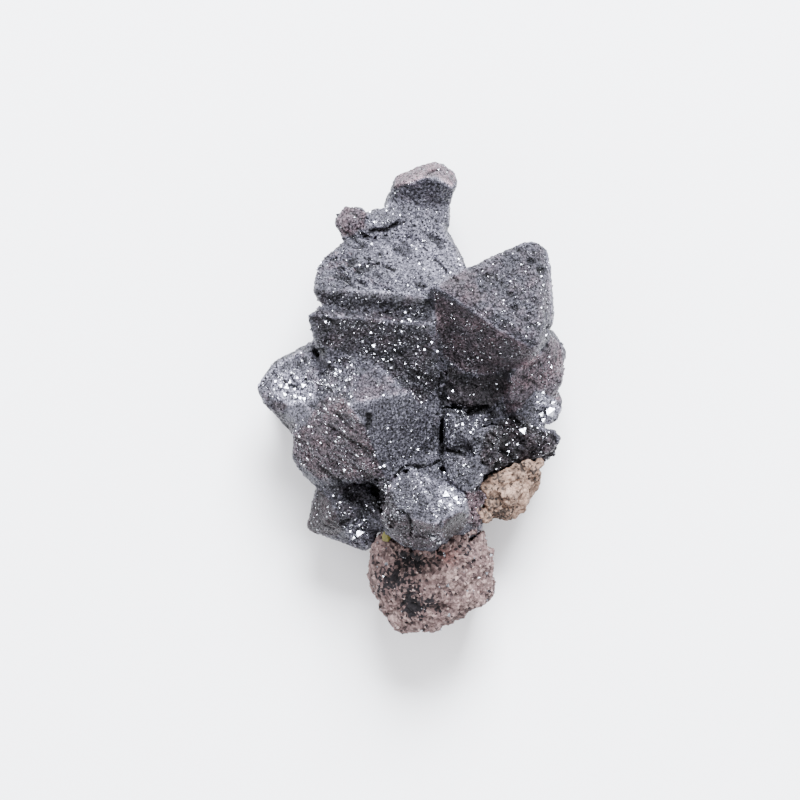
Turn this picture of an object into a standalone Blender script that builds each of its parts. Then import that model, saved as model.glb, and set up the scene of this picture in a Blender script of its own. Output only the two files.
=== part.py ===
"""Hematite pseudomorph after magnetite, a loose hand specimen lying on its back.

One solid of octahedral crystals that grew into each other, with two scraps of the volcanic rock
that it grew on. Metres, +Z up. +X is the specimen's right and +Y its top, and the crystals that
show best face +Z. Corners are in millimetres on a specimen 54 mm long, measured from the middle
of its outline and up from the table.
"""

import math
import random

import bmesh
import bpy
from mathutils import Euler, Vector, noise
from mathutils.bvhtree import BVHTree

# Driving dimensions, in metres
SPECIMEN_LENGTH = 0.054
MM = SPECIMEN_LENGTH / 54.0
EDGE_WEAR = 0.22 * MM
JOIN_GAP = 0.0003
SMALLEST_DETAIL = 0.00001

# Two faces that meet at less than this keep their edge as it is
BLUNT_EDGE_ANGLE = math.radians(24)

# How many small crystals stand out of the sides and the back
SMALL_ON_SIDES = 54

# Main crystals, each as the corners that show, then those of its hidden side
CRYSTALS = {
    "heart_mass": [
        (-7.0, 7.8, 12.0), (12.4, 7.8, 12.0), (15.2, -0.2, 9.0), (14.6, -5.9, 8.5),
        (7.8, -11.6, 9.0), (-1.3, -15.0, 9.0), (-8.1, -10.4, 7.5), (-11.5, -2.5, 8.0),
        (-5.5, 6.5, 3.0), (10.5, 6.5, 3.0), (12.5, -5.0, 3.0), (6.5, -10.0, 3.0),
        (-1.0, -12.5, 3.0), (-9.0, -2.0, 3.0),
    ],
    "crown": [
        (-1.9, 24.3, 13.0), (-0.6, 24.5, 14.3), (1.7, 25.1, 15.5), (3.4, 24.5, 14.6),
        (5.0, 24.1, 12.8), (-1.7, 25.3, 11.5), (-0.5, 25.9, 11.0), (1.2, 26.7, 10.5),
        (2.6, 27.0, 10.0), (3.7, 26.8, 9.8), (4.9, 25.9, 10.0), (5.4, 24.7, 10.5),
        (-1.3, 22.1, 11.5), (1.5, 21.8, 12.5), (4.4, 22.1, 10.5), (-3.0, 22.7, 9.5),
        (-3.2, 22.0, 9.0), (-1.3, 23.7, 4.0), (3.8, 24.9, 4.0), (3.0, 20.5, 4.5),
        (-1.0, 20.5, 6.0),
    ],
    "neck": [
        (-3.0, 22.3, 10.0), (-3.2, 21.9, 9.5), (-1.4, 22.6, 11.0), (4.5, 22.1, 10.5),
        (4.3, 20.1, 10.0), (4.2, 18.8, 11.0), (3.0, 17.5, 13.5), (-0.7, 19.7, 14.6),
        (1.5, 21.2, 13.2), (-2.7, 21.0, 12.5), (-1.3, 20.9, 4.5), (3.5, 19.7, 4.5),
    ],
    "neck_foot": [
        (4.2, 19.2, 10.5), (5.0, 17.5, 12.0), (6.4, 14.7, 13.0), (3.3, 15.5, 15.6),
        (0.5, 18.8, 14.4), (5.5, 13.5, 9.0), (2.5, 18.0, 5.0), (4.8, 15.0, 5.0),
    ],
    "knob": [
        (-8.8, 20.2, 11.0), (-8.2, 21.2, 11.0), (-7.2, 21.9, 11.5), (-6.1, 21.9, 12.0),
        (-5.2, 21.0, 12.5), (-5.1, 19.6, 13.0), (-6.3, 18.3, 13.5), (-7.8, 18.0, 12.5),
        (-7.2, 20.8, 14.2), (-6.3, 20.5, 14.6), (-7.6, 19.5, 13.8), (-8.1, 19.7, 8.0),
        (-7.0, 20.9, 8.0), (-6.5, 16.6, 11.0), (-5.0, 17.2, 9.0),
    ],
    "top_block": [
        (-5.5, 21.1, 11.0), (-4.0, 21.7, 12.0), (-1.5, 22.0, 12.0), (-1.0, 21.0, 13.6),
        (-2.0, 20.0, 14.6), (-3.5, 19.1, 14.4), (-5.2, 19.5, 13.4), (-5.5, 17.5, 10.0),
        (-0.5, 18.0, 11.5), (-3.6, 20.3, 7.0),
    ],
    "great_upper": [
        (-11.3, 13.4, 20.5), (7.6, 11.2, 20.5), (2.3, 22.0, 9.0), (-1.0, 1.0, 12.0),
        (-7.6, 10.1, 3.0), (7.8, 10.1, 4.0), (-8.1, 15.5, 9.0),
    ],
    "great_lower": [
        (-11.9, 10.4, 21.0), (-10.9, 6.7, 19.0), (-9.3, 3.0, 17.0), (-1.3, -3.0, 14.2),
        (3.0, -0.9, 14.9), (2.8, 8.0, 21.1), (3.3, 14.0, 12.0), (2.3, 18.3, 9.5),
        (-10.8, 5.0, 8.0), (-7.6, 6.7, 4.0), (3.6, 6.7, 5.0),
    ],
    "great_tip": [
        (1.5, 3.0, 18.2), (2.9, 3.9, 18.9), (4.1, 2.8, 17.0), (3.4, 0.0, 15.2),
        (2.3, -0.6, 15.0), (1.0, 1.0, 16.4), (2.7, 1.5, 10.0),
    ],
    "left_shoulder": [
        (-11.2, 13.7, 19.5), (-10.8, 15.5, 16.8), (-9.3, 16.9, 15.0), (-7.8, 17.9, 13.5),
        (-5.6, 18.3, 13.5), (-1.9, 17.7, 14.8), (-1.1, 14.6, 18.5), (-3.0, 12.6, 20.4),
        (-10.2, 12.6, 20.4), (-8.7, 15.5, 8.0), (-4.7, 16.9, 7.0),
    ],
    "upper_right": [
        (2.2, 12.8, 22.0), (4.3, 12.2, 23.6), (14.5, 6.2, 22.4), (6.3, 14.6, 21.2),
        (12.8, 17.7, 18.6), (14.1, 17.8, 18.0), (15.2, 17.1, 17.4), (15.9, 14.9, 16.6),
        (16.0, 11.2, 16.5), (16.2, 9.4, 16.0), (15.6, 6.9, 19.0), (2.9, 5.3, 15.5),
        (4.4, 3.0, 14.0), (10.1, 2.8, 14.0), (13.5, 4.1, 16.5), (4.4, 12.3, 5.0),
        (14.1, 15.5, 5.0), (14.6, 8.9, 5.0), (6.7, 6.7, 5.0),
    ],
    "upper_right_step": [
        (3.9, 3.5, 15.4), (4.4, 1.8, 14.4), (5.5, 0.3, 13.3), (6.7, -0.6, 12.7),
        (7.8, -1.0, 12.3), (9.2, -0.3, 12.4), (10.4, 0.7, 12.9), (13.3, 5.1, 17.0),
        (11.8, 5.3, 17.4), (6.7, 4.4, 16.2), (5.5, 3.2, 5.0), (10.1, 2.1, 5.0),
        (12.4, 4.4, 5.0),
    ],
    "right": [
        (11.6, 4.7, 17.5), (15.6, 6.3, 15.5), (17.7, 5.4, 11.5), (17.0, 1.2, 12.5),
        (15.2, -0.8, 13.0), (10.9, -0.4, 15.0), (16.0, 7.8, 12.0), (16.9, 4.4, 4.0),
        (16.6, 1.4, 5.5), (15.8, 7.2, 7.0), (12.9, -0.2, 2.5), (12.4, 6.1, 3.0),
    ],
    "right_foot": [
        (16.9, 1.0, 11.0), (17.3, -0.4, 10.0), (17.2, -1.3, 9.5), (14.6, 0.6, 14.5),
        (16.6, -2.7, 9.0), (12.4, -3.6, 12.5), (11.2, -0.2, 14.0), (16.4, -1.9, 5.0),
        (16.2, 0.6, 4.5), (14.2, -2.6, 2.5), (11.8, -2.5, 4.0),
    ],
    "right_low": [
        (10.1, -2.5, 13.2), (13.5, -3.0, 12.6), (16.2, -3.6, 10.5), (16.5, -5.5, 9.5),
        (15.9, -6.9, 9.0), (14.9, -7.5, 8.6), (12.4, -7.4, 10.0), (10.1, -6.4, 12.0),
        (15.2, -4.7, 3.0), (15.6, -6.4, 3.5), (11.2, -4.7, 4.0),
    ],
    "centre": [
        (-6.4, -0.8, 22.5), (-6.8, 4.0, 19.0), (-3.0, 3.1, 18.6), (-0.5, 0.3, 19.0),
        (3.4, -2.2, 15.9), (3.4, -6.8, 13.8), (1.5, -7.6, 14.5), (-3.9, -9.1, 17.0),
        (-7.6, -9.5, 14.0), (-10.6, -10.3, 9.5), (-12.7, -8.4, 10.0), (-13.8, -6.8, 11.5),
        (-13.1, -4.7, 13.0), (-13.6, -3.8, 13.4), (-10.4, 3.5, 15.5), (-9.3, -4.7, 4.0),
        (-1.3, -4.7, 4.0), (-9.3, -8.7, 4.0),
    ],
    "left": [
        (-17.8, 1.2, 10.0), (-15.9, 4.1, 11.0), (-11.0, 6.7, 12.0), (-11.3, 5.5, 15.5),
        (-10.2, 0.4, 17.0), (-12.7, -2.7, 14.5), (-13.0, -4.9, 9.0), (-17.0, -0.4, 10.5),
        (-12.7, 1.0, 2.5), (-11.0, 4.4, 3.5), (-11.5, -3.0, 3.0),
    ],
    "left_low": [
        (-12.7, -8.4, 9.0), (-11.0, -10.1, 8.5), (-9.3, -11.0, 9.0), (-6.4, -9.3, 9.0),
        (-9.3, -4.7, 9.0), (-12.7, -5.9, 9.0), (-11.5, -9.3, 4.0), (-8.1, -9.3, 4.0),
    ],
    "lower_left": [
        (-10.9, -10.1, 9.0), (-12.1, -14.8, 8.5), (-11.3, -15.4, 7.0), (-7.6, -16.6, 7.0),
        (-5.2, -17.6, 7.0), (-4.0, -17.0, 9.0), (-8.4, -12.4, 13.5), (-9.3, -14.1, 12.5),
        (-4.1, -12.9, 11.5), (-3.5, -11.0, 7.0), (-7.5, -8.5, 6.0), (-10.4, -13.8, 2.5),
        (-5.9, -15.6, 2.5),
    ],
    "lower_centre": [
        (0.0, -7.8, 18.5), (6.0, -11.6, 20.0), (6.4, -12.5, 20.0), (3.6, -14.6, 22.5),
        (-1.9, -12.9, 22.0), (-2.6, -10.4, 20.0), (-3.6, -13.8, 15.0), (-3.2, -15.6, 12.5),
        (-0.7, -17.0, 14.0), (2.3, -17.7, 14.5), (6.9, -13.8, 14.0), (1.0, -11.6, 4.0),
        (3.3, -15.6, 5.0),
    ],
    "lower_right": [
        (5.8, -11.2, 17.5), (7.4, -11.6, 14.5), (8.3, -13.3, 12.0), (8.2, -15.0, 11.0),
        (6.7, -16.1, 12.0), (4.6, -15.6, 14.5), (4.1, -13.9, 17.0), (6.7, -12.7, 4.0),
        (7.2, -15.0, 5.0),
    ],
    "middle_bed": [
        (3.6, -0.5, 11.2), (6.7, -0.8, 10.2), (10.1, -1.3, 10.4), (12.4, -3.0, 12.0),
        (14.1, -5.9, 11.0), (12.4, -7.2, 11.5), (9.0, -8.4, 13.5), (6.7, -9.3, 15.0),
        (3.8, -8.2, 15.0), (3.6, -4.7, 13.5), (4.4, -2.5, 4.0), (12.4, -3.6, 4.0),
        (7.8, -8.2, 4.0),
    ],
    "middle_ridge": [
        (3.7, -1.1, 15.6), (4.6, -2.1, 17.8), (6.6, -4.7, 18.2), (7.8, -5.0, 16.0),
        (3.9, -5.8, 16.2), (5.8, -1.3, 15.6), (7.2, -3.0, 15.6), (5.5, -3.6, 8.0),
    ],
    "middle_block": [
        (7.6, -3.4, 17.0), (9.9, -2.9, 15.8), (10.5, -4.7, 14.4), (9.2, -7.0, 15.2),
        (7.6, -7.2, 16.5), (6.7, -5.3, 16.5), (8.6, -5.3, 7.0),
    ],
    "middle_foot": [
        (3.5, -6.6, 17.0), (5.1, -6.4, 17.8), (7.6, -6.8, 17.0), (8.3, -9.3, 15.6),
        (6.7, -11.2, 17.0), (4.2, -9.3, 18.2), (5.5, -8.2, 8.0),
    ],
}

# Regular octahedra of the back, each lying on a face: centre x, y, edge, turn in degrees, lift
BACK_OCTAHEDRA = [
    (2.0, 5.0, 17.0, 20, 0.0),
    (-1.0, -9.5, 12.0, 75, 0.0),
    (-11.0, 0.3, 9.0, 180, 1.2),
    (0.5, 15.5, 8.0, 40, 2.5),
    (12.0, 0.5, 8.0, 10, 1.5),
    (9.5, 9.8, 9.0, 30, 3.0),
    (2.0, -12.3, 9.0, 15, 3.6),
    (12.0, -4.6, 7.0, 95, 1.8),
    (0.6, 21.0, 5.0, 100, 3.2),
]

# Small octahedra of the front: x, y, z of the middle, then its middle-to-corner radius
FRONT_SMALL = [
    (15.2, -5.3, 10.6, 1.5), (13.5, -4.7, 12.0, 1.3), (11.8, -5.9, 12.2, 1.2), (10.1, -4.7, 13.6, 1.2),
    (10.7, -7.0, 12.0, 1.1), (9.0, -6.8, 15.0, 0.9), (14.4, -6.0, 10.2, 1.1), (16.0, -5.9, 9.4, 0.9),
    (12.7, -3.6, 12.8, 1.3), (16.1, -4.3, 10.0, 1.0), (7.8, -8.2, 15.4, 0.8), (8.6, -9.3, 14.2, 0.8),
]

# Rock: corners of the rough lump, grain of its surface and how rough it is, in millimetres
ROCKS = {
    "pink_matrix": {
        "corners": [
            (-3.9, -15.6, 10.0), (-2.2, -15.2, 11.0), (-4.5, -17.6, 11.0), (-2.2, -17.0, 12.5), (2.1, -17.6, 13.0), (5.0, -16.7, 12.8),
            (8.3, -15.2, 11.0), (8.8, -16.6, 11.3), (9.2, -19.5, 11.3), (9.5, -21.9, 10.5),
            (9.2, -23.3, 9.0), (5.2, -25.1, 11.5), (1.2, -26.7, 11.0), (-0.7, -26.9, 9.0),
            (-2.5, -25.7, 9.0), (-3.9, -23.4, 9.0), (-5.1, -21.0, 9.5), (2.0, -21.5, 13.8),
            (-3.6, -20.1, 2.5), (-1.3, -18.4, 1.0), (4.4, -17.0, 0.8), (7.8, -19.0, 2.0),
            (7.6, -22.0, 1.5), (3.8, -24.1, 0.6), (-0.7, -24.1, 0.8), (0.0, -13.5, 4.0),
            (5.5, -12.5, 4.0), (6.5, -12.5, 11.0),
        ],
        "grain": 1.3, "roughness": 0.5, "seed": (7.0, 3.0, 5.0),
    },
    "tan_matrix": {
        "corners": [
            (8.1, -9.1, 12.5), (9.9, -8.2, 13.4), (11.8, -7.4, 13.0), (13.9, -6.8, 11.6),
            (15.2, -8.0, 9.6), (15.0, -9.1, 8.4), (13.5, -10.2, 9.5), (12.9, -11.2, 10.0),
            (12.8, -12.7, 10.0), (11.7, -13.8, 9.0), (10.3, -14.1, 10.5), (9.0, -13.7, 11.5),
            (8.4, -12.5, 12.5), (7.8, -10.9, 13.2), (9.0, -10.4, 4.0), (12.9, -9.3, 4.0),
            (11.8, -12.1, 5.0), (9.5, -12.5, 4.5),
        ],
        "grain": 0.9, "roughness": 0.35, "seed": (2.0, 9.0, 4.0),
    },
}

# Crystals that the rock grew round, so it is cut clear of them
CRYSTALS_IN_ROCK = [
    "heart_mass", "lower_centre", "lower_left", "lower_right", "middle_foot", "middle_bed", "right_low",
]


def lying_octahedron(x, y, edge, turn, lift):
    """Corners of a regular octahedron with one face down, lift above the table."""
    radius = edge / math.sqrt(3)
    height = edge * math.sqrt(2 / 3)
    corners = []
    for step in range(6):
        angle = math.radians(turn + 60 * step)
        z = lift + (height if step % 2 else 0.0)
        corners.append((x + radius * math.cos(angle), y + radius * math.sin(angle), z))
    return corners


def remove_everything():
    for old in list(bpy.data.objects):
        bpy.data.objects.remove(old, do_unlink=True)


def new_collection(name, for_tools=False):
    collection = bpy.data.collections.new(name)
    bpy.context.scene.collection.children.link(collection)
    collection.hide_render = for_tools
    return collection


def object_of(name, shape, collection):
    """An object with a bmesh as its mesh."""
    mesh = bpy.data.meshes.new(name)
    shape.to_mesh(mesh)
    shape.free()
    made = bpy.data.objects.new(name, mesh)
    collection.objects.link(made)
    if collection.hide_render:
        made.hide_render = True
        made.display_type = "WIRE"
    return made


def hull_of(points):
    """The convex solid round some points, with one face for each flat side."""
    shape = bmesh.new()
    made = [shape.verts.new(p) for p in points]
    bmesh.ops.convex_hull(shape, input=made)
    inside = [v for v in shape.verts if not v.link_faces]
    bmesh.ops.delete(shape, geom=inside, context="VERTS")
    bmesh.ops.dissolve_limit(
        shape, angle_limit=math.radians(2), verts=shape.verts, edges=shape.edges
    )
    bmesh.ops.recalc_face_normals(shape, faces=shape.faces)
    return shape


def crystal(name, corners, collection):
    """A crystal with flat faces between its corners, its sharp edges blunted by wear."""
    shape = hull_of([Vector(c) * MM for c in corners])
    sharp = [e for e in shape.edges if e.calc_face_angle(0) > BLUNT_EDGE_ANGLE]
    bmesh.ops.bevel(
        shape, geom=sharp, offset=EDGE_WEAR, offset_type="OFFSET", segments=1,
        profile=0.5, affect="EDGES", clamp_overlap=True, material=-1,
    )
    return object_of(name, shape, collection)


def grown_crystal(name, corners, collection):
    """The hull of a crystal with every face moved out by the join's gap or a little more."""
    steps = (-1, 0, 1)
    ways = [Vector((x, y, z)).normalized() for x in steps for y in steps for z in steps if x or y or z]
    points = [Vector(c) * MM + way * JOIN_GAP * 1.1 for c in corners for way in ways]
    return object_of(name, hull_of(points), collection)


def keep_result(obj, modifier):
    """The object's mesh becomes what its modifier makes of it."""
    graph = bpy.context.evaluated_depsgraph_get()
    mesh = bpy.data.meshes.new_from_object(obj.evaluated_get(graph))
    obj.modifiers.remove(modifier)
    obj.data = mesh
    mesh.name = obj.name


def combine(obj, operation, collection):
    """The object joined with, or cut by, all that a collection holds."""
    modifier = obj.modifiers.new(operation.title(), "BOOLEAN")
    modifier.operation = operation
    modifier.operand_type = "COLLECTION"
    modifier.collection = collection
    modifier.solver = "EXACT"
    keep_result(obj, modifier)


def islands(shape):
    """The separate closed bodies of a bmesh, as lists of faces."""
    left = set(shape.faces)
    found = []
    while left:
        front = [left.pop()]
        body = []
        while front:
            face = front.pop()
            body.append(face)
            near = {f for e in face.edges for f in e.link_faces} & left
            left -= near
            front += near
        found.append(body)
    return found


def keep_outer_body(obj):
    """Only the largest body stays, with no sliver edges."""
    shape = bmesh.new()
    shape.from_mesh(obj.data)
    bodies = sorted(islands(shape), key=lambda body: sum(f.calc_area() for f in body))
    scraps = [f for body in bodies[:-1] for f in body]
    bmesh.ops.delete(shape, geom=scraps, context="FACES")
    bmesh.ops.dissolve_degenerate(shape, dist=SMALLEST_DETAIL, edges=shape.edges)
    bmesh.ops.triangulate(shape, faces=shape.faces)
    shape.to_mesh(obj.data)
    shape.free()


def small_octahedron(name, middle, radius, turn, collection):
    shape = bmesh.new()
    bmesh.ops.create_uvsphere(shape, u_segments=4, v_segments=2, radius=radius)
    bmesh.ops.rotate(shape, verts=shape.verts, matrix=turn.to_matrix())
    bmesh.ops.translate(shape, verts=shape.verts, vec=middle)
    return object_of(name, shape, collection)


def surface_of(obj):
    shape = bmesh.new()
    shape.from_mesh(obj.data)
    tree = BVHTree.FromBMesh(shape)
    shape.free()
    return tree


def random_turn(rng):
    return Euler([rng.uniform(0, math.tau) for _ in range(3)])


def under_outline(surface, middle, radius):
    """Whether the large crystals hide a small one from the front."""
    for step in range(8):
        angle = math.tau * step / 8
        above = middle + Vector((math.cos(angle), math.sin(angle), 0)) * radius
        above.z = 60 * MM
        hit = surface.ray_cast(above, Vector((0, 0, -1)))[0]
        if hit is None or hit.z < middle.z + radius:
            return False
    return True


def scattered_on_sides(rng, surface, count):
    """Places for small crystals on the sides and the back: middle and radius, clear of the table."""
    places = []
    while len(places) < count:
        around = rng.uniform(0, math.tau)
        aim = Vector((rng.uniform(-9, 9), rng.uniform(-11, 18), rng.uniform(3, 13))) * MM
        start = aim + Vector((math.cos(around), math.sin(around), rng.uniform(-0.8, 0.1))) * 60 * MM
        spot, normal, _, _ = surface.ray_cast(start, (aim - start).normalized())
        if spot is None:
            continue
        radius = rng.uniform(0.7, 1.7) * MM
        middle = spot - normal * radius * 0.25
        clear_of_table = middle.z > radius + 0.8 * MM
        clear_of_rock = spot.y > -12 * MM and not (spot.x > 6 * MM and spot.y < -5 * MM)
        if clear_of_table and clear_of_rock and under_outline(surface, middle, radius):
            places.append((middle, radius))
    return places


def add_small_crystals(cluster):
    """Small octahedra that stand out of the large ones, joined with them. Returns where they are."""
    rng = random.Random(19)
    small = new_collection("Small crystals to fuse", for_tools=True)
    places = [(Vector(spec[:3]) * MM, spec[3] * MM) for spec in FRONT_SMALL]
    places += scattered_on_sides(rng, surface_of(cluster), SMALL_ON_SIDES)
    crystals = [(middle, radius, random_turn(rng)) for middle, radius in places]
    for number, (middle, radius, turn) in enumerate(crystals):
        small_octahedron(f"small_{number:02d}", middle, radius, turn, small)
    combine(cluster, "UNION", small)
    return crystals


def crystal_cluster(specimen):
    """All the crystals as one solid, as they grew, and where its small ones are."""
    members = new_collection("Crystals to fuse", for_tools=True)
    cluster = crystal("crystal_cluster", CRYSTALS["heart_mass"], specimen)
    for name, corners in CRYSTALS.items():
        if name != "heart_mass":
            crystal("fuse_" + name, corners, members)
    for number, spec in enumerate(BACK_OCTAHEDRA):
        crystal(f"fuse_back_{number}", lying_octahedron(*spec), members)
    combine(cluster, "UNION", members)
    keep_outer_body(cluster)
    small = add_small_crystals(cluster)
    keep_outer_body(cluster)
    return cluster, small


def rough_lump(name, corners, grain, roughness, seed, specimen):
    """A lump of volcanic rock: a hull, made even-grained and then uneven."""
    lump = object_of(name, hull_of([Vector(c) * MM for c in corners]), specimen)
    remesh = lump.modifiers.new("Grain", "REMESH")
    remesh.mode = "VOXEL"
    remesh.voxel_size = grain * MM
    keep_result(lump, remesh)
    for vertex in lump.data.vertices:
        place = vertex.co / MM
        broad = noise.noise(place * 0.35 + Vector(seed))
        fine = noise.noise(place * 0.9 + Vector(seed))
        swelling = 0.25 * grain + (0.9 * broad + 1.1 * fine) * roughness
        vertex.co += vertex.normal * swelling * MM
        vertex.co.z = max(vertex.co.z, 0.3 * MM)
    return lump


def matrix_rock(specimen, small_crystals):
    """The two scraps of rock, cut clear of the crystals that they carry."""
    clear = new_collection("Room for the crystals", for_tools=True)
    for name in CRYSTALS_IN_ROCK:
        grown_crystal("room_" + name, CRYSTALS[name], clear)
    for number, spec in enumerate(BACK_OCTAHEDRA):
        grown_crystal(f"room_back_{number}", lying_octahedron(*spec), clear)
    for number, (middle, radius, turn) in enumerate(small_crystals):
        roomy = radius + JOIN_GAP * math.sqrt(3)
        small_octahedron(f"room_small_{number:02d}", middle, roomy, turn, clear)
    rocks = []
    for name, spec in ROCKS.items():
        rock = rough_lump(name, specimen=specimen, **spec)
        combine(rock, "DIFFERENCE", clear)
        keep_outer_body(rock)
        rocks.append(rock)
    return rocks


def principled(name, colour, metallic, roughness):
    material = bpy.data.materials.new(name)
    material.use_nodes = True
    shader = material.node_tree.nodes["Principled BSDF"]
    shader.inputs["Base Color"].default_value = (*colour, 1.0)
    shader.inputs["Metallic"].default_value = metallic
    shader.inputs["Roughness"].default_value = roughness
    return material


def rest_on_table(objects):
    """The lowest point on the table, and the middle of the outline over the origin."""
    corners = [v.co for obj in objects for v in obj.data.vertices]
    low = Vector([min(c[axis] for c in corners) for axis in range(3)])
    high = Vector([max(c[axis] for c in corners) for axis in range(3)])
    shift = Vector(((low.x + high.x) / 2, (low.y + high.y) / 2, low.z))
    for obj in objects:
        for vertex in obj.data.vertices:
            vertex.co -= shift


def main():
    remove_everything()
    specimen = new_collection("Hematite_pseudomorph")
    cluster, small_crystals = crystal_cluster(specimen)
    pink, tan = matrix_rock(specimen, small_crystals)
    cluster.data.materials.append(principled("hematite", (0.075, 0.072, 0.08), 0.7, 0.5))
    pink.data.materials.append(principled("pink_volcanic_rock", (0.27, 0.21, 0.2), 0.0, 0.9))
    tan.data.materials.append(principled("tan_volcanic_crust", (0.42, 0.34, 0.27), 0.0, 0.95))
    rest_on_table([cluster, pink, tan])


main()
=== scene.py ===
"""Hematite pseudomorph after magnetite: the visual model of a loose mineral specimen.

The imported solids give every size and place. Each solid is copied, given an even fine mesh and
shaped down to its grain, and thousands of small crystals are set into it. Places on the specimen
are in millimetres from the middle of its outline, x to its right and y towards its crown.
"""

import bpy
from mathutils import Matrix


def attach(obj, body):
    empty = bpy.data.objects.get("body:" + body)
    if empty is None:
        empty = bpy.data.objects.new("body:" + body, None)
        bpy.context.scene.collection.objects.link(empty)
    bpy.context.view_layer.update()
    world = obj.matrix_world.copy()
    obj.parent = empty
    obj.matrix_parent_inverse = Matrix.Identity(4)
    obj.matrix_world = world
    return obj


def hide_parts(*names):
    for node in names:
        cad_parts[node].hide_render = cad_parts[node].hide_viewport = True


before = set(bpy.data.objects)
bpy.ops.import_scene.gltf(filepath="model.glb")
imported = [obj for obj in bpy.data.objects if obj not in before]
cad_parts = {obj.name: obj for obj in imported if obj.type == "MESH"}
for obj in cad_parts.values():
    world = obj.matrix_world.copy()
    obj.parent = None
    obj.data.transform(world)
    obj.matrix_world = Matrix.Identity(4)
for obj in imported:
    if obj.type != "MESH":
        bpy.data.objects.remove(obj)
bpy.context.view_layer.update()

import math
import random

import bmesh
import bpy
import numpy as np
from mathutils import Euler, Matrix, Vector, noise
from mathutils.bvhtree import BVHTree

bl_info = {
    "name": "Hematite Pseudomorph",
    "version": (1, 0, 0),
    "blender": (4, 5, 0),
    "location": "3D View > Sidebar > Specimen",
    "description": "Builds a hematite specimen from its solids: crystals, druse, rock and stage",
    "category": "Add Mesh",
}

MM = 0.001

# Attributes of the meshes that the materials read: three values of each place's facet or patch, the
# first of them painted light and shade on the crystals, and how open it lies, from 0 in a hollow to 1
# on a tip, by which the materials paint shade into the hollows
SHADE = "patches"
HOLLOWS = "hollows"

# A first value of v makes a place exp(LIGHT_RANGE * v) times lighter, up to LIGHT_MOST times. On the
# crystals this is painted light and shade, partly the faces' own tone.
LIGHT_RANGE = 1.3
LIGHT_MOST = 4.0

# The values of the sides and the back, which are light, brown and sparkle of the crystals and dark,
# rust and pale of the rocks, and how much the first two of them vary there
CRYSTAL_SIDES = (-0.1, 0.35, 0.2)
CRYSTAL_MOTTLE = (0.8, 1.6)
PINK_SIDES = (0.0, 0.1, 0.2)
TAN_SIDES = (0.1, 0.1, 0.0)
ROCK_MOTTLE = (0.5, 0.4)

# Half the width over which a facet fades at its edge and how far that edge wanders, in mm, and how
# many times its reach a round patch spreads
FACET_EDGE = 0.2
FACET_WANDER = 0.2
PATCH_SPREAD = 1.35

# Ridges between facets: how far they reach to each side and how high they are, in mm, and how much
# painted highlight they add to the first value
RIDGE_WIDTH = 0.45
RIDGE_HEIGHT = 0.12
RIDGE_PAINTED_HIGHLIGHT = 0.5

# Small octahedra in the front: how far they scatter around facet corners and their radii, in mm, the
# share of a radius that is sunk, how far they lean, and the lowest and the steepest place for one
STUD_SCATTER = 1.1
STUD_RADII = (0.22, 0.5)
STUD_SUNK = 0.3
STUD_LEAN = 0.5
LOWEST_STUD = 7.0
STEEPEST_STUD = 0.3

# The smallest crystals of the druse, and the smallest and largest loose grains of the pink rock
LEAST_COARSE = 0.14 * MM
LEAST_FINE = 0.04 * MM
PALE_GRAINS = (0.08 * MM, 0.26 * MM)
DARK_GRAINS = (0.10 * MM, 0.32 * MM)

# Layers of noise in the relief: waves per mm, height and seed of each
FACE_WAVES = ((0.45, 1.0, 0.0), (1.05, 0.6, 3.0))
FACE_GRAIN = ((2.1, 0.9, 11.0), (3.9, 0.8, 17.0))
ROCK_LUMPS = ((0.55, 1.0, 5.0), (1.3, 0.7, 6.0))
ROCK_GRIT = ((2.9, 1.0, 9.0), (5.2, 0.6, 10.0))

# Turns and stretches places for the noise of the crumbled parts, so that they run aslant
CRUMBLE_SLANT = np.array([[0.5, 0.9, 0.0], [0.25, 1.5, 0.0], [0.0, 0.0, 0.8]])

# Depth of the rocks' relief in mm
PINK_RELIEF = 0.2
TAN_RELIEF = 0.18

# Gaps in the front, in mm: the cell of the grid that finds them, how far below its neighbours a vertex
# still counts as front, and the depth that stays open. Then the share of the rest that is filled.
GAP_CELL = 0.25
FRONT_DEPTH = 0.3
GAP_LEFT = 0.25
GAP_FILLED = 0.7

# The crest of the great octahedron's ledge, x against y, and how far places slide down, by how far
# they lie above it: along the groove, in front of GROOVE_BACK, and at the ledge's blunt left end
LEDGE_LINE = ((-10.0, 1.8), (10.0, 8.2))
GROOVE_SLIDE = ((-1.0, 0.0, 2.0, 4.0, 8.5), (0.0, 0.15, 1.4, 1.0, 0.0))
GROOVE_RIGHT_END = 2.0
GROOVE_BACK = 12.0
LEDGE_LEFT_END = -10.7
LEDGE_BLUNTING = ((-0.8, 0.3, 3.0), (0.0, 0.7, 0.0))

# The olive grain in mm: its place, its half sizes, and how near to it the top of the front is read
OLIVE_PLACE = (-3.0, -15.8)
OLIVE_SIZE = (0.6, 0.85, 0.5)
TOP_REACH = 0.25

# No vertex of the crystals and the rocks lies lower above the table than this
TABLE_GAP = 0.02

# Places of the lights in metres, where a face points that mirrors the key light into the camera, and
# how far the plates that flash lean away from it
KEY_PLACE = (0.10, 0.62, 0.66)
FILL_PLACE = (-0.5, -0.5, 0.5)
FLASH = (Vector(KEY_PLACE).normalized() + Vector((0, 0, 1))).normalized()
GLINT_SPREAD = 0.07

# Half the side of the floor in metres
FLOOR_REACH = 1.5

# What the camera sees: middle and width of its view in mm, and the height where that width holds
VIEW_CENTRE = (-1.3, -0.2)
VIEW_WIDTH = 91.1
VIEW_PLANE = 14.0
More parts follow.
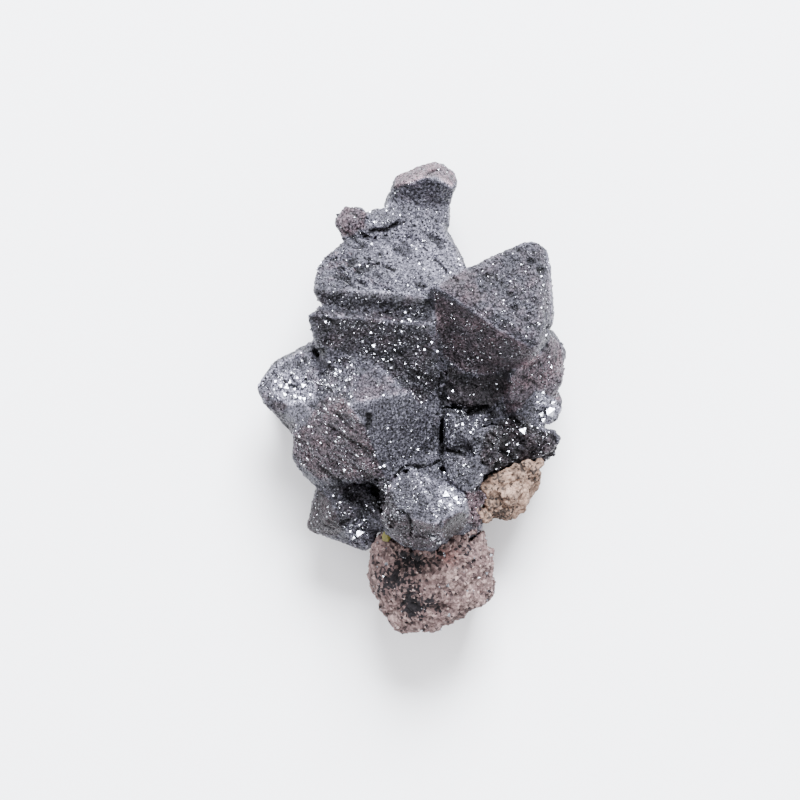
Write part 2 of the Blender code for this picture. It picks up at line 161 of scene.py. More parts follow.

# The facets of the front as the eye tells them apart. Each has its light, brown, sparkle and relief
# beside the usual ones, and its corners as seen from the front. The light is partly the face's own
# tone and partly painted light and shade: faces turned to the key light, bright bands, corners and
# the foot are painted lighter, and faces turned away, the groove, the step and the hollow darker.
FACETS = [
    ("crown cap", (0.35, 0.70, 0.00, -0.10),
     [(-2, 24), (-1.8, 25.3), (-0.8, 26.1), (0.9, 26.8), (2.7, 27.2), (4.2, 26.5), (5.4, 24.9),
      (4.6, 24.1), (3, 25), (1.3, 25.1), (-0.4, 24.4)]),
    ("crown, lower face", (0.28, 0.00, 0.02, -0.10),
     [(-0.4, 24.4), (1.3, 25.1), (3, 25), (4.6, 24.1), (5, 23.2), (4.4, 22), (1.5, 21.8), (-1.3, 22.4),
      (-2.7, 22.1)]),
    ("neck", (0.35, -0.10, 0.35, 0.10),
     [(-2.9, 21.9), (-1.3, 22.3), (1.5, 21.7), (4.5, 22), (4.6, 19), (2.9, 19.7), (1, 20.5),
      (-1.3, 20.9)]),
    ("block beside the knob", (0.45, -0.20, 0.35, 0.00),
     [(-5.3, 20.5), (-4.1, 21.8), (-2.4, 22.3), (-1.3, 21.7), (-1.3, 20.1), (-2.7, 19.3), (-4.7, 19.4)]),
    ("knob", (0.15, 0.55, 0.00, 0.20),
     [(-8.8, 20.1), (-8.1, 21.7), (-6.8, 22.1), (-5.2, 21.2), (-5.4, 19.4), (-6.8, 18.4), (-8.1, 18.5)]),
    # Painted light: this face is turned to the key light
    ("great octahedron, upper face", (0.50, -0.20, 0.14, 0.75),
     [(-7.6, 18.3), (-2.2, 19.3), (0.1, 20.8), (3.3, 19.6), (5.9, 14.6), (3.8, 13.8), (2.1, 12.3),
      (1.9, 11.5), (-3, 12.1), (-6.8, 12.3), (-7.6, 14.6)]),
    ("great octahedron, silvery part", (0.22, -0.10, 0.05, -0.20),
     [(-3.6, 18.6), (0.1, 20.4), (3.3, 19.2), (5.6, 14.8), (3.4, 13.6), (-0.5, 13.4), (-3, 15.6)]),
    ("great octahedron, crumbled part", (-0.22, 0.10, 0.10, 0.40),
     [(-7.6, 17), (-5, 16.2), (-2.6, 14.2), (-1.2, 12.4), (-6.8, 12.5), (-8, 14)]),
    ("shoulder plate", (0.15, 0.00, 0.35, 1.10),
     [(-7.6, 18.3), (-7.6, 14.6), (-6.8, 12.3), (-10.2, 12.6), (-11.1, 13.9), (-10.4, 16)]),
    # Painted shade: the groove lies in the shadow of the ledge above it
    ("groove", (-0.62, 0.10, 0.15, 0.00),
     [(-10.9, 12.3), (-6.8, 12.2), (1.9, 11.4), (2.1, 9.7), (-1.3, 9.8), (-7, 10.3), (-11.1, 10.8)]),
    ("ledge", (-0.38, 0.10, 0.35, 0.10),
     [(-11.8, 10.1), (-7, 10.2), (-1.3, 9.7), (2.3, 9.5), (2.1, 8.6), (-1.9, 8.7), (-7, 9.2),
      (-11.3, 9.4)]),
    # Painted shade: this face is turned away from the key light
    ("great octahedron, lower face", (-0.58, 0.20, 0.45, 0.30),
     [(-11.3, 9.2), (-7, 9), (2.1, 8.4), (2.3, 6.1), (3.3, 1.5), (1, -0.8), (-0.7, 1), (-3.6, 3.8),
      (-6.8, 5.3), (-10.6, 6.1)]),
    ("upper right, light face", (0.00, 0.15, 0.20, 0.30),
     [(2.9, 12.8), (5.8, 14.6), (10.1, 17.2), (13.5, 17.7), (15.4, 16.7), (16, 11.2), (16.1, 7.8),
      (14.6, 5.3), (10.1, 7.8), (6.7, 10.1)]),
    ("upper right, left end", (-0.12, 0.30, -0.30, -0.60),
     [(2.7, 12.7), (5.8, 14.4), (7.2, 14.1), (7.8, 11.2), (6.7, 10.1)]),
    ("upper right, dark face", (-0.22, 0.50, 0.25, 0.00),
     [(2.5, 12.3), (6.7, 9.8), (10.1, 7.6), (14.6, 5.2), (14.1, 3.8), (10.1, 3), (6.7, 2.7),
      (3.8, 4.4), (2.9, 7.8)]),
    # Painted shade: the step lies under the crystal above it
    ("step below it", (-1.10, 0.40, 0.00, -0.60),
     [(4.2, 3.8), (6.7, 2.3), (10.1, 2.8), (11.2, 3.2), (10.7, 0.4), (9.4, -0.9), (6.7, -1.2),
      (4.6, -0.6), (3.9, 0.6), (4, 2.3)]),
    ("right crystal", (0.10, 0.55, 0.20, 0.10),
     [(11.8, 3.2), (14.6, 4.9), (16.1, 7.2), (17.2, 5.5), (17.5, 2.1), (16.9, -0.2), (14.1, 1),
      (12.4, -1.3), (10.7, -1.9), (10.4, 0.7)]),
    # Painted highlight: the glints of the foot
    ("right foot", (1.30, -0.20, 1.20, 0.50),
     [(14.1, 0.7), (16.4, -0.2), (17.2, -1.3), (16, -3), (15.2, -3.8), (14.1, -2.5)]),
    ("right druse", (-1.00, 0.45, 0.50, 1.30),
     [(10.1, -2.5), (12.4, -1.9), (14.6, -3.6), (16.4, -4.2), (16.6, -6.4), (15.2, -8.2), (12.4, -7.2),
      (9.5, -8.2), (7.8, -7.2), (8, -4.7)]),
    ("middle ridge", (-0.06, -0.20, 0.50, 0.20),
     [(3.4, -1.3), (5, -0.8), (6.7, -1.9), (8.4, -3), (8, -5.3), (7.2, -7), (5.5, -5.9), (3.6, -5.3)]),
    ("middle block", (-0.08, -0.10, 0.35, 0.10),
     [(3.3, -6.4), (5.8, -6.1), (7.8, -7.6), (7.6, -9.3), (6.1, -9.9), (3.3, -9.1), (2.1, -8.2)]),
    ("centre, top face", (0.10, 0.25, -0.05, -0.65),
     [(-7, -0.8), (-6.3, 1.5), (-5.4, 3), (-3.8, 3.5), (-1.3, 1.2), (-0.2, 0.5), (-3, 0.2),
      (-5.6, -0.4)]),
    ("centre, front face", (-0.05, -0.30, 0.05, -0.35),
     [(-7, -0.9), (-3, 0), (-0, 0.5), (1.1, -0.8), (3.3, -4.7), (2.9, -6.4), (-0.7, -7.5),
      (-2.9, -9.1), (-3.8, -7), (-5.3, -3)]),
    ("centre, left face", (0.00, 0.55, 0.70, 0.50),
     [(-7, -0.9), (-5.3, -3), (-3.8, -7), (-2.9, -9.1), (-7, -9.3), (-10.6, -9.1), (-12.7, -7.6),
      (-13.8, -5.9), (-13.6, -4.2), (-12.1, -3), (-10.4, -0.2), (-8.1, 0.4)]),
    ("centre, upper left", (0.20, 0.10, 0.75, 0.70),
     [(-10.9, 3.2), (-6.8, 4.9), (-5.4, 3), (-7, -0.8), (-8.1, 0.4), (-10.4, -0.2), (-11.8, 1.5)]),
    ("left crystal", (0.45, 0.00, 0.40, 0.10),
     [(-17.7, 1.5), (-15.5, 3.8), (-12.7, 5.3), (-10.9, 5.3), (-10.6, 3), (-10.9, -0.4), (-12.7, -0.4),
      (-15, -0.6), (-17, 0.5)]),
    # Painted highlight along the bright band
    ("left crystal, bright band", (1.10, -0.20, 0.80, 0.80),
     [(-15.4, 3), (-12.7, 3.2), (-11.1, 1.5), (-10.8, -0.2), (-12.7, -0.6), (-15, -0.5), (-16.1, 1)]),
    ("left crystal, lower facet", (0.20, -0.40, -0.20, -0.50),
     [(-14.1, -0.8), (-12.7, -0.4), (-11.3, -1.9), (-12.9, -2.7), (-14.6, -2.5), (-14.4, -1.3)]),
    ("left crystal, underside", (-0.35, 0.35, 0.30, 0.30),
     [(-17, 0.4), (-14.1, -0.8), (-14.4, -2.5), (-12.9, -2.9), (-13.6, -4.2), (-15.5, -1.9)]),
    # Painted shade in the hollow
    ("hollow", (-0.45, 0.05, 0.45, 1.40),
     [(-9.8, -10), (-8.1, -9.1), (-2.9, -9.1), (-2.4, -11.6), (-4, -13.8), (-6.1, -13.3), (-7.9, -15),
      (-8.6, -12.1)]),
    ("lower left crystal", (-0.95, 0.60, 0.15, 0.10),
     [(-10.6, -10.4), (-9.3, -11.6), (-7.9, -15), (-8.7, -15.8), (-12, -15.2), (-11.8, -13.3)]),
    ("lower left, glints", (0.30, -0.10, 0.90, 1.20),
     [(-7.6, -14.6), (-5.6, -13.3), (-4.3, -15), (-5.2, -17.3), (-7.2, -16.7)]),
    ("brown crust beside it", (0.20, 0.95, 0.20, 1.40),
     [(6.0, -10.6), (8.4, -10.6), (8.9, -12.9), (7.4, -15.0), (6.4, -14.2), (6.6, -12.4)]),
    ("lower centre, light face", (-0.12, -0.10, 0.45, -0.20),
     [(-3.1, -10.9), (-0.7, -7.9), (0.4, -7.7), (3.3, -9.9), (5.8, -11.3), (6.1, -12.1), (5, -12.9),
      (2.7, -14.1), (0.4, -13.8), (-0.7, -13.3), (-1.9, -12.1)]),
    ("lower centre, right part", (0.34, -0.20, 0.20, -0.20),
     [(0.2, -7.8), (3.3, -9.9), (6.1, -11.9), (4.6, -13.2), (2.8, -13.5), (1.4, -10.6)]),
    # Painted highlight on the bright corner
    ("lower centre, bright corner", (0.80, -0.20, 1.10, 0.30),
     [(2.7, -10.4), (4.4, -9.3), (6.1, -11), (5.8, -12.5), (4.4, -12.9), (3.3, -12.1)]),
    # Painted shade on this facet, which is turned away from the key light, beside its own brown
    ("lower centre, brown facet in painted shade", (-1.80, 1.20, -0.60, -0.80),
     [(3.8, -13.8), (5.8, -12.9), (6.4, -13.8), (5.5, -15.2), (3.8, -16.1), (3.5, -15)]),
    ("lower centre, foot", (-0.60, 0.50, 0.40, 0.60),
     [(-2.7, -13.6), (-0.7, -13.6), (3.3, -14.3), (3.5, -16.1), (2.7, -17), (-0.2, -17), (-2.2, -15.6)]),
    ("lower centre, foot glint", (0.60, -0.20, 0.90, 0.30),
     [(1.9, -15.4), (3.5, -15.2), (3.8, -16.4), (2.3, -16.9)]),
    ("lower centre, left side", (-0.40, 0.25, 0.90, 1.00),
     [(-4, -9.7), (-2.4, -9.1), (-2, -11.3), (-1.1, -13.6), (-3, -15.2), (-3.9, -12.7)]),
]

# Crystals of half a millimetre and more that stand out of the large ones: x, y and radius
STUDS = [
    (16.6, -4.7, 0.91), (16, -6.8, 0.8), (-3.2, -11, 0.68), (-3, -13.3, 0.57), (10.7, -4.4, 0.8),
    (12.6, -5.5, 0.8), (9.5, -6.4, 0.8), (14.6, -5.9, 0.91), (11.8, -7, 0.68), (13.5, -3.6, 0.68),
    (-7.6, -13.3, 0.91), (-6.1, -12.1, 0.68), (-6.8, -15.6, 0.91), (-5.3, -16.1, 0.68), (-7, -11, 0.8),
    (-13.1, -5.9, 0.8), (-12.1, -7.6, 0.68), (-10.6, -8.7, 0.68), (-4.1, 19.2, 0.68),
    (-2.4, 19.1, 0.68), (-1, 19.9, 0.8), (0.1, 20.3, 0.68), (-5.2, 19.1, 0.57), (7.6, -1.5, 0.57),
    (8.5, -2.5, 0.68), (6.7, -0.8, 0.57), (9.2, -3.4, 0.57), (6.7, -4.7, 0.68), (4.4, -5.9, 0.57),
    (2.8, -7.9, 0.68), (1.9, -8.8, 0.68), (7.8, -8.2, 0.68), (8.3, -9.5, 0.57), (7.1, -10.2, 0.57),
    (6.7, -11.6, 0.57), (-4.5, 3, 0.34), (-9.3, 11.2, 0.34), (-10.6, 7.8, 0.46), (15.9, 9.5, 0.57),
    (16.5, 7.8, 0.68), (16.9, 6.1, 0.68), (10.1, -1.1, 0.57), (11.5, -1.5, 0.57), (3.3, 0.3, 0.46),
    (-12.7, -0.4, 0.57), (-10.2, -8.2, 0.57), (-8.1, -9.7, 0.57), (-1.9, -8.8, 0.46), (0.1, -15, 0.57),
    (1.5, -15.9, 0.57), (-1.3, -16.1, 0.57), (-10.2, 5.3, 0.46), (-11.5, 4.4, 0.46), (-9.2, 4.4, 0.46),
    (-8.4, 3, 0.46), (-9.5, 1.5, 0.46), (-8.8, 0.4, 0.34), (15.2, -0.8, 0.57), (16.1, -1.9, 0.57),
    (14.6, -2.2, 0.46), (5, 13.5, 0.34), (3.5, 13.8, 0.34), (2.8, 11.2, 0.34), (2.6, 9.2, 0.34),
    (2.8, 6.7, 0.46), (3.6, 4.1, 0.46), (-11.3, 9.5, 0.5), (-11.4, 8.7, 0.5), (-11.2, 7.8, 0.46),
    (-11.0, 6.8, 0.5), (-10.5, 10.6, 0.7), (-10.9, 10.2, 0.5),
]

# Edges between facets that catch the light, with a painted highlight and a low raised rim along each
RIDGES = [
    [(2.9, 12.8), (6.7, 10.1), (10.1, 7.7), (14.6, 5.2)],
    [(-7, -0.8), (-5.6, -0.4), (-3, 0.2), (-0, 0.5)],
    [(-3.8, 3.5), (-1.3, 1.2), (-0, 0.5)],
    [(-7, -0.8), (-5.4, -2.9)],
    [(2.3, 12.6), (5.8, 14.6), (10.1, 17.2), (13.5, 17.7)],
    [(-0.4, 24.4), (1.3, 25.1), (3, 25), (4.6, 24.1)],
    [(-7, 12.2), (-2.4, 12), (1.9, 11.4)],
    [(-11.3, 9.5), (-7, 9.2), (-1.9, 8.6), (2.1, 8.4)],
    [(-0.7, -7.8), (3.3, -9.9), (6.1, -11.9)],
    [(2.7, -14.1), (4.2, -13.3), (6.1, -12.5)],
    [(0.1, -7.9), (1.4, -10.6), (2.8, -13.5)],
    [(-0.7, -7.8), (-2.7, -10.7)],
    [(0.4, -13.8), (2.8, -14.2)],
    [(3.4, 19.6), (5.8, 15.1)],
    [(11.8, 3.2), (14.6, 4.9)],
    [(-14.1, -0.8), (-12.5, -0.3), (-11.2, -1.8)],
    [(15.4, 16.7), (16.1, 7.8)],
    [(4.2, 2.3), (6.7, -0.5)],
    [(-17.7, 1.4), (-15.4, 3.7), (-12.7, 5.2)],
]

# The largest plates that flash: x, y and radius
BIG_PLATES = [
    (15.7, -1.5, 0.85), (12.7, -3.8, 0.6), (13.5, -4.5, 0.28), (14.8, -1.9, 0.34), (15.2, -3, 0.28),
    (14.4, -0.4, 0.23), (-6.0, -15.5, 0.7), (-5.6, -16.1, 0.28), (-7, -15.2, 0.23), (2.5, -15.7, 0.5),
    (3.9, -11.0, 0.55), (5.3, -11.9, 0.28), (4.6, -10.4, 0.23), (3.3, -11.7, 0.23), (-14.7, 2.3, 0.23),
    (-13.8, 1.8, 0.34), (-13, 2.3, 0.23), (-14.4, 0.4, 0.34), (-12.7, 0, 0.28), (-11.5, 0.4, 0.23),
    (-13.3, 1, 0.23), (-15.5, 1.9, 0.23), (8.2, -10.4, 0.23), (-6.8, 3.7, 0.23), (-4.3, 5.9, 0.28),
    (-3.2, 4.4, 0.21), (-1.9, 5.5, 0.21), (1.5, 5.5, 0.23), (2.9, 5.3, 0.23), (2.3, 6.3, 0.21),
    (-8.1, 3, 0.21), (-7.4, 2, 0.18), (-9.2, -0.1, 0.21), (-8.2, -4.4, 0.21), (-7.6, -8.2, 0.21),
    (-3.1, -7.7, 0.23), (-9.3, 4.1, 0.18), (-4.6, 7.4, 0.18), (-0.7, 9.7, 0.18), (-0.3, 8.9, 0.18),
    (4.7, 0.8, 0.21), (6.1, 5.3, 0.16), (9.7, 1.6, 0.18), (16.5, 0.3, 0.17), (15, 0.6, 0.23),
    (11.1, -6.1, 0.17), (12.1, -5.3, 0.18), (13.8, -6.1, 0.18), (10.1, -8.2, 0.18), (7.9, -8.7, 0.18),
    (6.7, -3.9, 0.21), (5.8, -3, 0.23), (4.2, 0, 0.16), (16.1, -0.5, 0.35), (15.0, -2.5, 0.4),
    (-14.2, 1.2, 0.4), (-13.2, 0.2, 0.35), (-12.3, 1.4, 0.35), (-14.9, 1.4, 0.3), (-12.2, -0.1, 0.3),
    (5.0, -11.4, 0.4), (4.4, -12.1, 0.3), (3.1, -16.3, 0.35), (-6.7, -15.9, 0.35),
]

# Druse that fills the deepest holes between the large crystals and rounds the knob: x, y, z and radius
PLUGS = [
    (-10.1, 3.9, 15.0, 1.1), (-2.6, -9.6, 15.4, 1.3), (-1.6, -8.9, 16.2, 0.9), (1.2, -8.2, 15.4, 1.2),
    (2.2, -8.4, 15.2, 1.2), (3.0, -7.2, 14.9, 0.9), (3.2, -9.4, 15.6, 1.3), (4.6, -10.3, 15.4, 1.3),
    (5.8, -11.0, 15.0, 1.3), (7.3, -11.4, 13.4, 1.3), (2.4, -0.9, 14.0, 1.0), (7.6, -2.6, 13.2, 1.0),
    (7.2, -3.2, 14.2, 0.8), (10.6, -0.6, 12.1, 1.0), (10.8, 0.8, 12.4, 1.0), (-4.6, 19.0, 13.2, 0.8),
    (-1.2, 19.2, 13.6, 0.9), (-0.2, 18.8, 13.6, 0.9), (-5.2, 20.6, 12.8, 0.8), (1.0, 18.6, 13.6, 0.8),
    (9.6, -2.2, 12.2, 1.0), (12.8, -2.2, 12.6, 0.9), (-8.6, -10.0, 9.8, 0.9), (-5.6, -10.6, 9.2, 1.0),
    (-7.8, 20.0, 12.4, 1.1), (-7.2, 20.9, 12.4, 1.1), (-6.2, 20.9, 12.4, 1.1), (-6.6, 19.0, 12.4, 1.2),
    (-8.0, -10.7, 10.4, 1.0), (-6.4, -10.9, 10.6, 1.1), (-5.0, -11.2, 10.8, 1.0),
    (-4.2, -12.4, 11.4, 1.0), (-4.0, -14.0, 11.4, 0.9), (-5.4, -9.9, 10.0, 1.1), (5.9, -6.2, 14.4, 0.9),
    (7.8, -5.9, 14.6, 0.9), (4.6, -6.0, 14.6, 0.8), (1.9, -16.2, 15.6, 0.9),
]

# Crumbs of the rocks that stand out of their outlines: x, y, z and radius
PINK_CRUMBS = [
    (-3.6, -20.2, 9.4, 1.3), (-2.8, -22.6, 9.2, 1.2), (8.4, -19.0, 9.6, 1.2), (8.6, -21.2, 9.0, 1.1),
    (-1.4, -24.6, 9.4, 1.1), (2.6, -25.6, 10.4, 1.2), (5.6, -24.4, 10.4, 1.1), (0.4, -19.6, 12.4, 1.3),
    (3.6, -19.2, 12.6, 1.2), (-1.9, -18.6, 11.2, 1.1), (5.8, -20.8, 11.9, 1.2), (1.8, -22.2, 12.4, 1.3),
    (-0.8, -21.6, 11.6, 1.1), (3.9, -23.0, 11.8, 1.1), (7.2, -17.6, 11.6, 1.0),
    (-1.9, -16.9, 12.0, 0.9), (-0.7, -17.4, 13.3, 0.9), (0.8, -17.8, 13.8, 0.9), (2.1, -17.4, 14.2, 0.9),
    (3.8, -16.7, 13.9, 0.9), (5.0, -16.0, 13.1, 0.9), (6.1, -15.6, 12.4, 0.9), (6.8, -15.0, 12.0, 0.8),
]
TAN_CRUMBS = [
    (9.6, -9.9, 11.9, 1.3), (11.0, -11.1, 11.9, 1.4), (9.4, -12.0, 11.4, 1.1), (12.3, -8.7, 11.6, 1.1),
    (13.9, -8.2, 11.2, 0.9), (10.8, -12.9, 10.9, 0.8), (8.6, -12.9, 11.1, 0.8), (12.0, -10.2, 11.6, 1.0),
    (8.4, -11.0, 11.9, 0.8), (10.6, -8.9, 12.0, 0.8), (12.6, -11.9, 10.4, 0.8), (13.2, -9.6, 10.6, 0.8),
    (7.8, -13.2, 12.4, 0.9), (8.6, -13.6, 11.4, 0.8), (7.2, -12.6, 13.4, 0.6),
    (14.6, -7.4, 11.0, 0.7), (13.0, -7.6, 12.2, 0.7), (11.8, -7.9, 12.4, 0.6),
]

# Cracks in the front: corners of each one in mm, then its half width and depth
CRACKS = [
    ([(3.7, -1.3), (3.6, -3.8), (3.6, -5.9), (3.2, -7.0), (2.2, -7.6), (1.5, -7.5)], 0.10, 0.6),
    ([(3.6, -5.7), (4.4, -6.0), (5.5, -6.1)], 0.10, 0.5),
    ([(-1.9, -9.0), (-0.7, -7.8), (0.9, -7.6), (2.1, -7.7)], 0.15, 0.7),
    ([(-1.5, -12.8), (-0.5, -13.0), (0.0, -14.6), (0.0, -15.6)], 0.12, 0.45),
    ([(-4.7, 19.1), (-3.2, 19.0), (-1.6, 19.9)], 0.16, 0.6),
    ([(1.5, 25.4), (2.4, 25.9), (3.3, 26.0)], 0.10, 0.3),
    ([(3.6, 2.6), (3.4, 0.6), (4.2, -1.0), (6.0, -1.6), (8.4, -1.2)], 0.25, 1.0),
    ([(-4.9, -1.9), (-4.7, -2.7), (-4.9, -3.1)], 0.20, 0.5),
    ([(-5.3, 15.1), (-3.5, 15.4), (-2.0, 14.5)], 0.13, 0.35),
    ([(2.4, 16.3), (4.0, 14.3), (5.2, 13.3)], 0.10, 0.3),
]

# Pits in the front: x, y, reach and depth in mm
PITS = [
    (-8.0, 14.6, 0.9, 0.5), (-6.6, 15.6, 0.8, 0.5), (-5.2, 14.8, 0.9, 0.4), (-8.9, 15.6, 0.6, 0.4),
    (-7.2, 13.6, 0.7, 0.4), (-3.6, 16.4, 0.5, 0.3), (-1.6, 17.0, 0.5, 0.3), (11.3, 11.8, 0.7, 0.5),
    (11.7, 10.3, 0.6, 0.5), (13.6, 15.6, 0.8, 0.4), (14.8, 14.6, 0.8, 0.4), (15.8, 7.9, 0.9, 0.6),
    (8.8, 14.1, 0.5, 0.3), (-4.8, -2.1, 0.6, 0.5), (-10.4, 5.3, 0.9, 1.2), (9.4, -1.9, 0.9, 0.7),
    (-4.2, -10.6, 1.2, 0.8), (-6.6, -11.4, 0.9, 0.7), (10.6, -4.2, 0.7, 0.5), (12.4, -6.1, 0.6, 0.5),
]

# Round patches of the pink rock: name, x, y and reach, then how dark, rusty and pale each is. The
# pale face and the pale bevel are partly a painted highlight.
ROCK_PATCHES = [
    ("dark grains, top", 0.3, -18.4, 1.8, 1.0, 0.0, 0.0),
    ("dark grains, edge", 0.3, -23.6, 2.0, 1.15, 0.0, 0.0),
    ("dark grains, left", -2.4, -20.6, 2.1, 1.0, 0.0, 0.0),
    ("dark grains, upper left", -1.4, -17.9, 1.3, 0.7, 0.0, 0.0),
    ("dark grains, middle", -0.4, -21.2, 1.5, 0.6, 0.0, 0.0),
    ("dark grains, low", 2.7, -23.6, 1.1, 0.6, 0.1, 0.0),
    ("dark grains, right", 6.4, -17.3, 1.3, 0.6, 0.1, 0.0),
    ("dark grains, under the crystal", 3.2, -17.6, 1.2, 0.5, 0.2, 0.0),
    ("rust, top right", 4.4, -18.0, 1.6, 0.0, 0.5, 0.0),
    # Partly a painted highlight on the smooth face and its bevel
    ("pale face", 5.1, -20.2, 2.0, 0.0, 0.1, 0.55),
    ("pale bevel", 6.6, -22.8, 2.2, 0.0, 0.0, 0.5),
    ("pale left", -1.2, -25.0, 1.6, 0.0, 0.0, 0.4),
]

# The same for the tan rock
TAN_PATCHES = [
    ("pale middle", 11.4, -10.2, 2.4, 0.0, 0.0, 0.6),
    ("dark rim", 10.4, -13.2, 1.8, 0.8, 0.2, 0.0),
    ("dark upper edge", 9.6, -9.2, 1.3, 0.6, 0.1, 0.0),
    ("dark upper right", 12.6, -7.9, 1.0, 0.6, 0.1, 0.0),
    ("dark left end", 8.3, -12.2, 1.2, 0.6, 0.2, 0.0),
    ("dark right end", 14.3, -8.4, 1.3, 0.5, 0.1, 0.0),
]


class CrystalSettings(bpy.types.PropertyGroup):
    """Sizes of the crystals' fine surface."""

    grid: bpy.props.FloatProperty(
        name="Grid", description="Edge length of the fine mesh", default=0.19 * MM, unit="LENGTH")
    studs: bpy.props.IntProperty(
        name="Studs", description="Small crystals fused to the large ones", default=420)
    gap_width: bpy.props.FloatProperty(
        name="Gap width", description="Gaps narrower than this are nearly closed", default=1.8 * MM,
        unit="LENGTH")
    triangles: bpy.props.IntProperty(
        name="Triangles", description="Most triangles that the crystals may have", default=194000)
    unevenness: bpy.props.FloatProperty(
        name="Unevenness", description="Height of the broad waves in the faces", default=0.11 * MM,
        unit="LENGTH")
    ledge: bpy.props.FloatProperty(
        name="Ledge", description="Height of the growth ledges", default=0.07 * MM, unit="LENGTH")
    grain: bpy.props.FloatProperty(
        name="Grain", description="Height of the finest relief", default=0.065 * MM, unit="LENGTH")
    crumble: bpy.props.FloatProperty(
        name="Crumble", description="Depth of the crumbled stretches", default=0.45 * MM, unit="LENGTH")


class DruseSettings(bpy.types.PropertyGroup):
    """Sizes of the small crystals that cover the large ones."""

    fine_count: bpy.props.IntProperty(
        name="Fine crystals", description="How many crystals make the sparkle", default=15000)
    fine_radius: bpy.props.FloatProperty(
        name="Fine radius", description="Largest fine crystal", default=0.14 * MM, unit="LENGTH")
    glint_count: bpy.props.IntProperty(
        name="Glints", description="How many plates flash in the key light", default=1300)
    glint_radius: bpy.props.FloatProperty(
        name="Glint radius", description="Largest flashing plate", default=0.2 * MM, unit="LENGTH")
    coarse_count: bpy.props.IntProperty(
        name="Coarse crystals", description="How many crystals can be told apart", default=1500)
    coarse_radius: bpy.props.FloatProperty(
        name="Coarse radius", description="Largest coarse crystal", default=0.65 * MM, unit="LENGTH")


class RockSettings(bpy.types.PropertyGroup):
    """Sizes of the two rocks' grain."""

    grid: bpy.props.FloatProperty(
        name="Grid", description="Edge length of the fine mesh", default=0.16 * MM, unit="LENGTH")
    pink_grain: bpy.props.FloatProperty(
        name="Pink grain", description="Width of the pink rock's grains", default=0.55 * MM,
        unit="LENGTH")
    tan_grain: bpy.props.FloatProperty(
        name="Tan grain", description="Width of the tan rock's grains", default=0.5 * MM,
        unit="LENGTH")
    loose_grains: bpy.props.IntProperty(
        name="Loose grains", description="Grains that stand out of the pink rock", default=420)


class ColourSettings(bpy.types.PropertyGroup):
    """Colours of the specimen, the floor and the lights, as sRGB hex values."""

    hematite: bpy.props.StringProperty(
        name="Hematite", description="Grey of a clean crystal face", default="3C3B42")
    brown: bpy.props.StringProperty(
        name="Brown hematite", description="Purple-brown of an oxidised face", default="45383C")
    plates: bpy.props.StringProperty(
        name="Hematite plates", description="Silver of the small plates", default="B4B6BC")
    pink_rock: bpy.props.StringProperty(
        name="Pink rock", description="Body of the pink volcanic rock", default="5C4A48")
    tan_rock: bpy.props.StringProperty(
        name="Tan rock", description="Body of the tan volcanic crust", default="7A6355")
    feldspar: bpy.props.StringProperty(
        name="Feldspar", description="Pale grains of the pink rock", default="8A7570")
    pink_dark: bpy.props.StringProperty(
        name="Pink rock, dark", description="Dark grains of the pink rock", default="181517")
    tan_pale: bpy.props.StringProperty(
        name="Tan rock, pale", description="Pale grains of the tan rock", default="8E7768")
    tan_dark: bpy.props.StringProperty(
        name="Tan rock, dark", description="Dark grains of the tan rock", default="38302B")
    rust: bpy.props.StringProperty(
        name="Rust", description="Iron stain in the rock", default="7A4A42")
    olive: bpy.props.StringProperty(
        name="Olive grain", description="The one olive-green grain", default="6F6A2E")
    floor: bpy.props.StringProperty(
        name="Floor", description="Pale surface under the specimen", default="FFFFFF")
    sky: bpy.props.StringProperty(
        name="Sky", description="Even light from all around", default="E8E8EC")
    key: bpy.props.StringProperty(
        name="Key light", description="Tint of the light above the crown", default="F4F7FF")
    fill: bpy.props.StringProperty(
        name="Fill light", description="Tint of the light from the other side", default="EEF2FF")


class StageSettings(bpy.types.PropertyGroup):
    """Camera and lights."""

    key_power: bpy.props.FloatProperty(
        name="Key light", description="Watts of the soft light above the crown", default=50.0)
    key_size: bpy.props.FloatProperty(
        name="Key size", description="Side of the key light's square", default=0.45, unit="LENGTH")
    fill_power: bpy.props.FloatProperty(
        name="Fill light", description="Watts of the weak light from the other side", default=1.5)
    fill_size: bpy.props.FloatProperty(
        name="Fill size", description="Side of the fill light's square", default=0.6, unit="LENGTH")
    sky_strength: bpy.props.FloatProperty(
        name="Sky", description="Strength of the even light from all around", default=2.3)
    camera_height: bpy.props.FloatProperty(
        name="Camera height", description="Camera above the table", default=1.2, unit="LENGTH")


def linear(hex_colour):
    """An sRGB hex value as a linear colour with alpha."""
    parts = [int(hex_colour[i:i + 2], 16) / 255 for i in (0, 2, 4)]
    return [p / 12.92 if p <= 0.04045 else ((p + 0.055) / 1.055) ** 2.4 for p in parts] + [1.0]


def eased(part):
    """Rises from 0 to 1 with no edge at either end."""
    part = np.clip(part, 0, 1)
    return part * part * (3 - 2 * part)


def smooth_fall(distance, reach):
    """1 at a patch's middle, 0 from its reach on, with no edge between."""
    return eased(1 - distance / reach)


def merged_copy(solid):
    """A bmesh of one solid with its loose triangles joined."""
    shape = bmesh.new()
    shape.from_mesh(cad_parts[solid].data)
    bmesh.ops.remove_doubles(shape, verts=shape.verts, dist=MM / 1000)
    return shape


def in_scene(name, data):
    """A new object in the scene with that mesh, light or camera."""
    made = bpy.data.objects.new(name, data)
    bpy.context.scene.collection.objects.link(made)
    return made


def piece_of(name, shape):
    """A piece in the scene with that bmesh as its mesh."""
    mesh = bpy.data.meshes.new(name)
    shape.to_mesh(mesh)
    shape.free()
    return in_scene(name, mesh)


def apply_modifiers(piece):
    """Makes a piece's modifiers part of its mesh."""
    graph = bpy.context.evaluated_depsgraph_get()
    mesh = bpy.data.meshes.new_from_object(piece.evaluated_get(graph))
    piece.modifiers.clear()
    piece.data = mesh
    mesh.name = piece.name


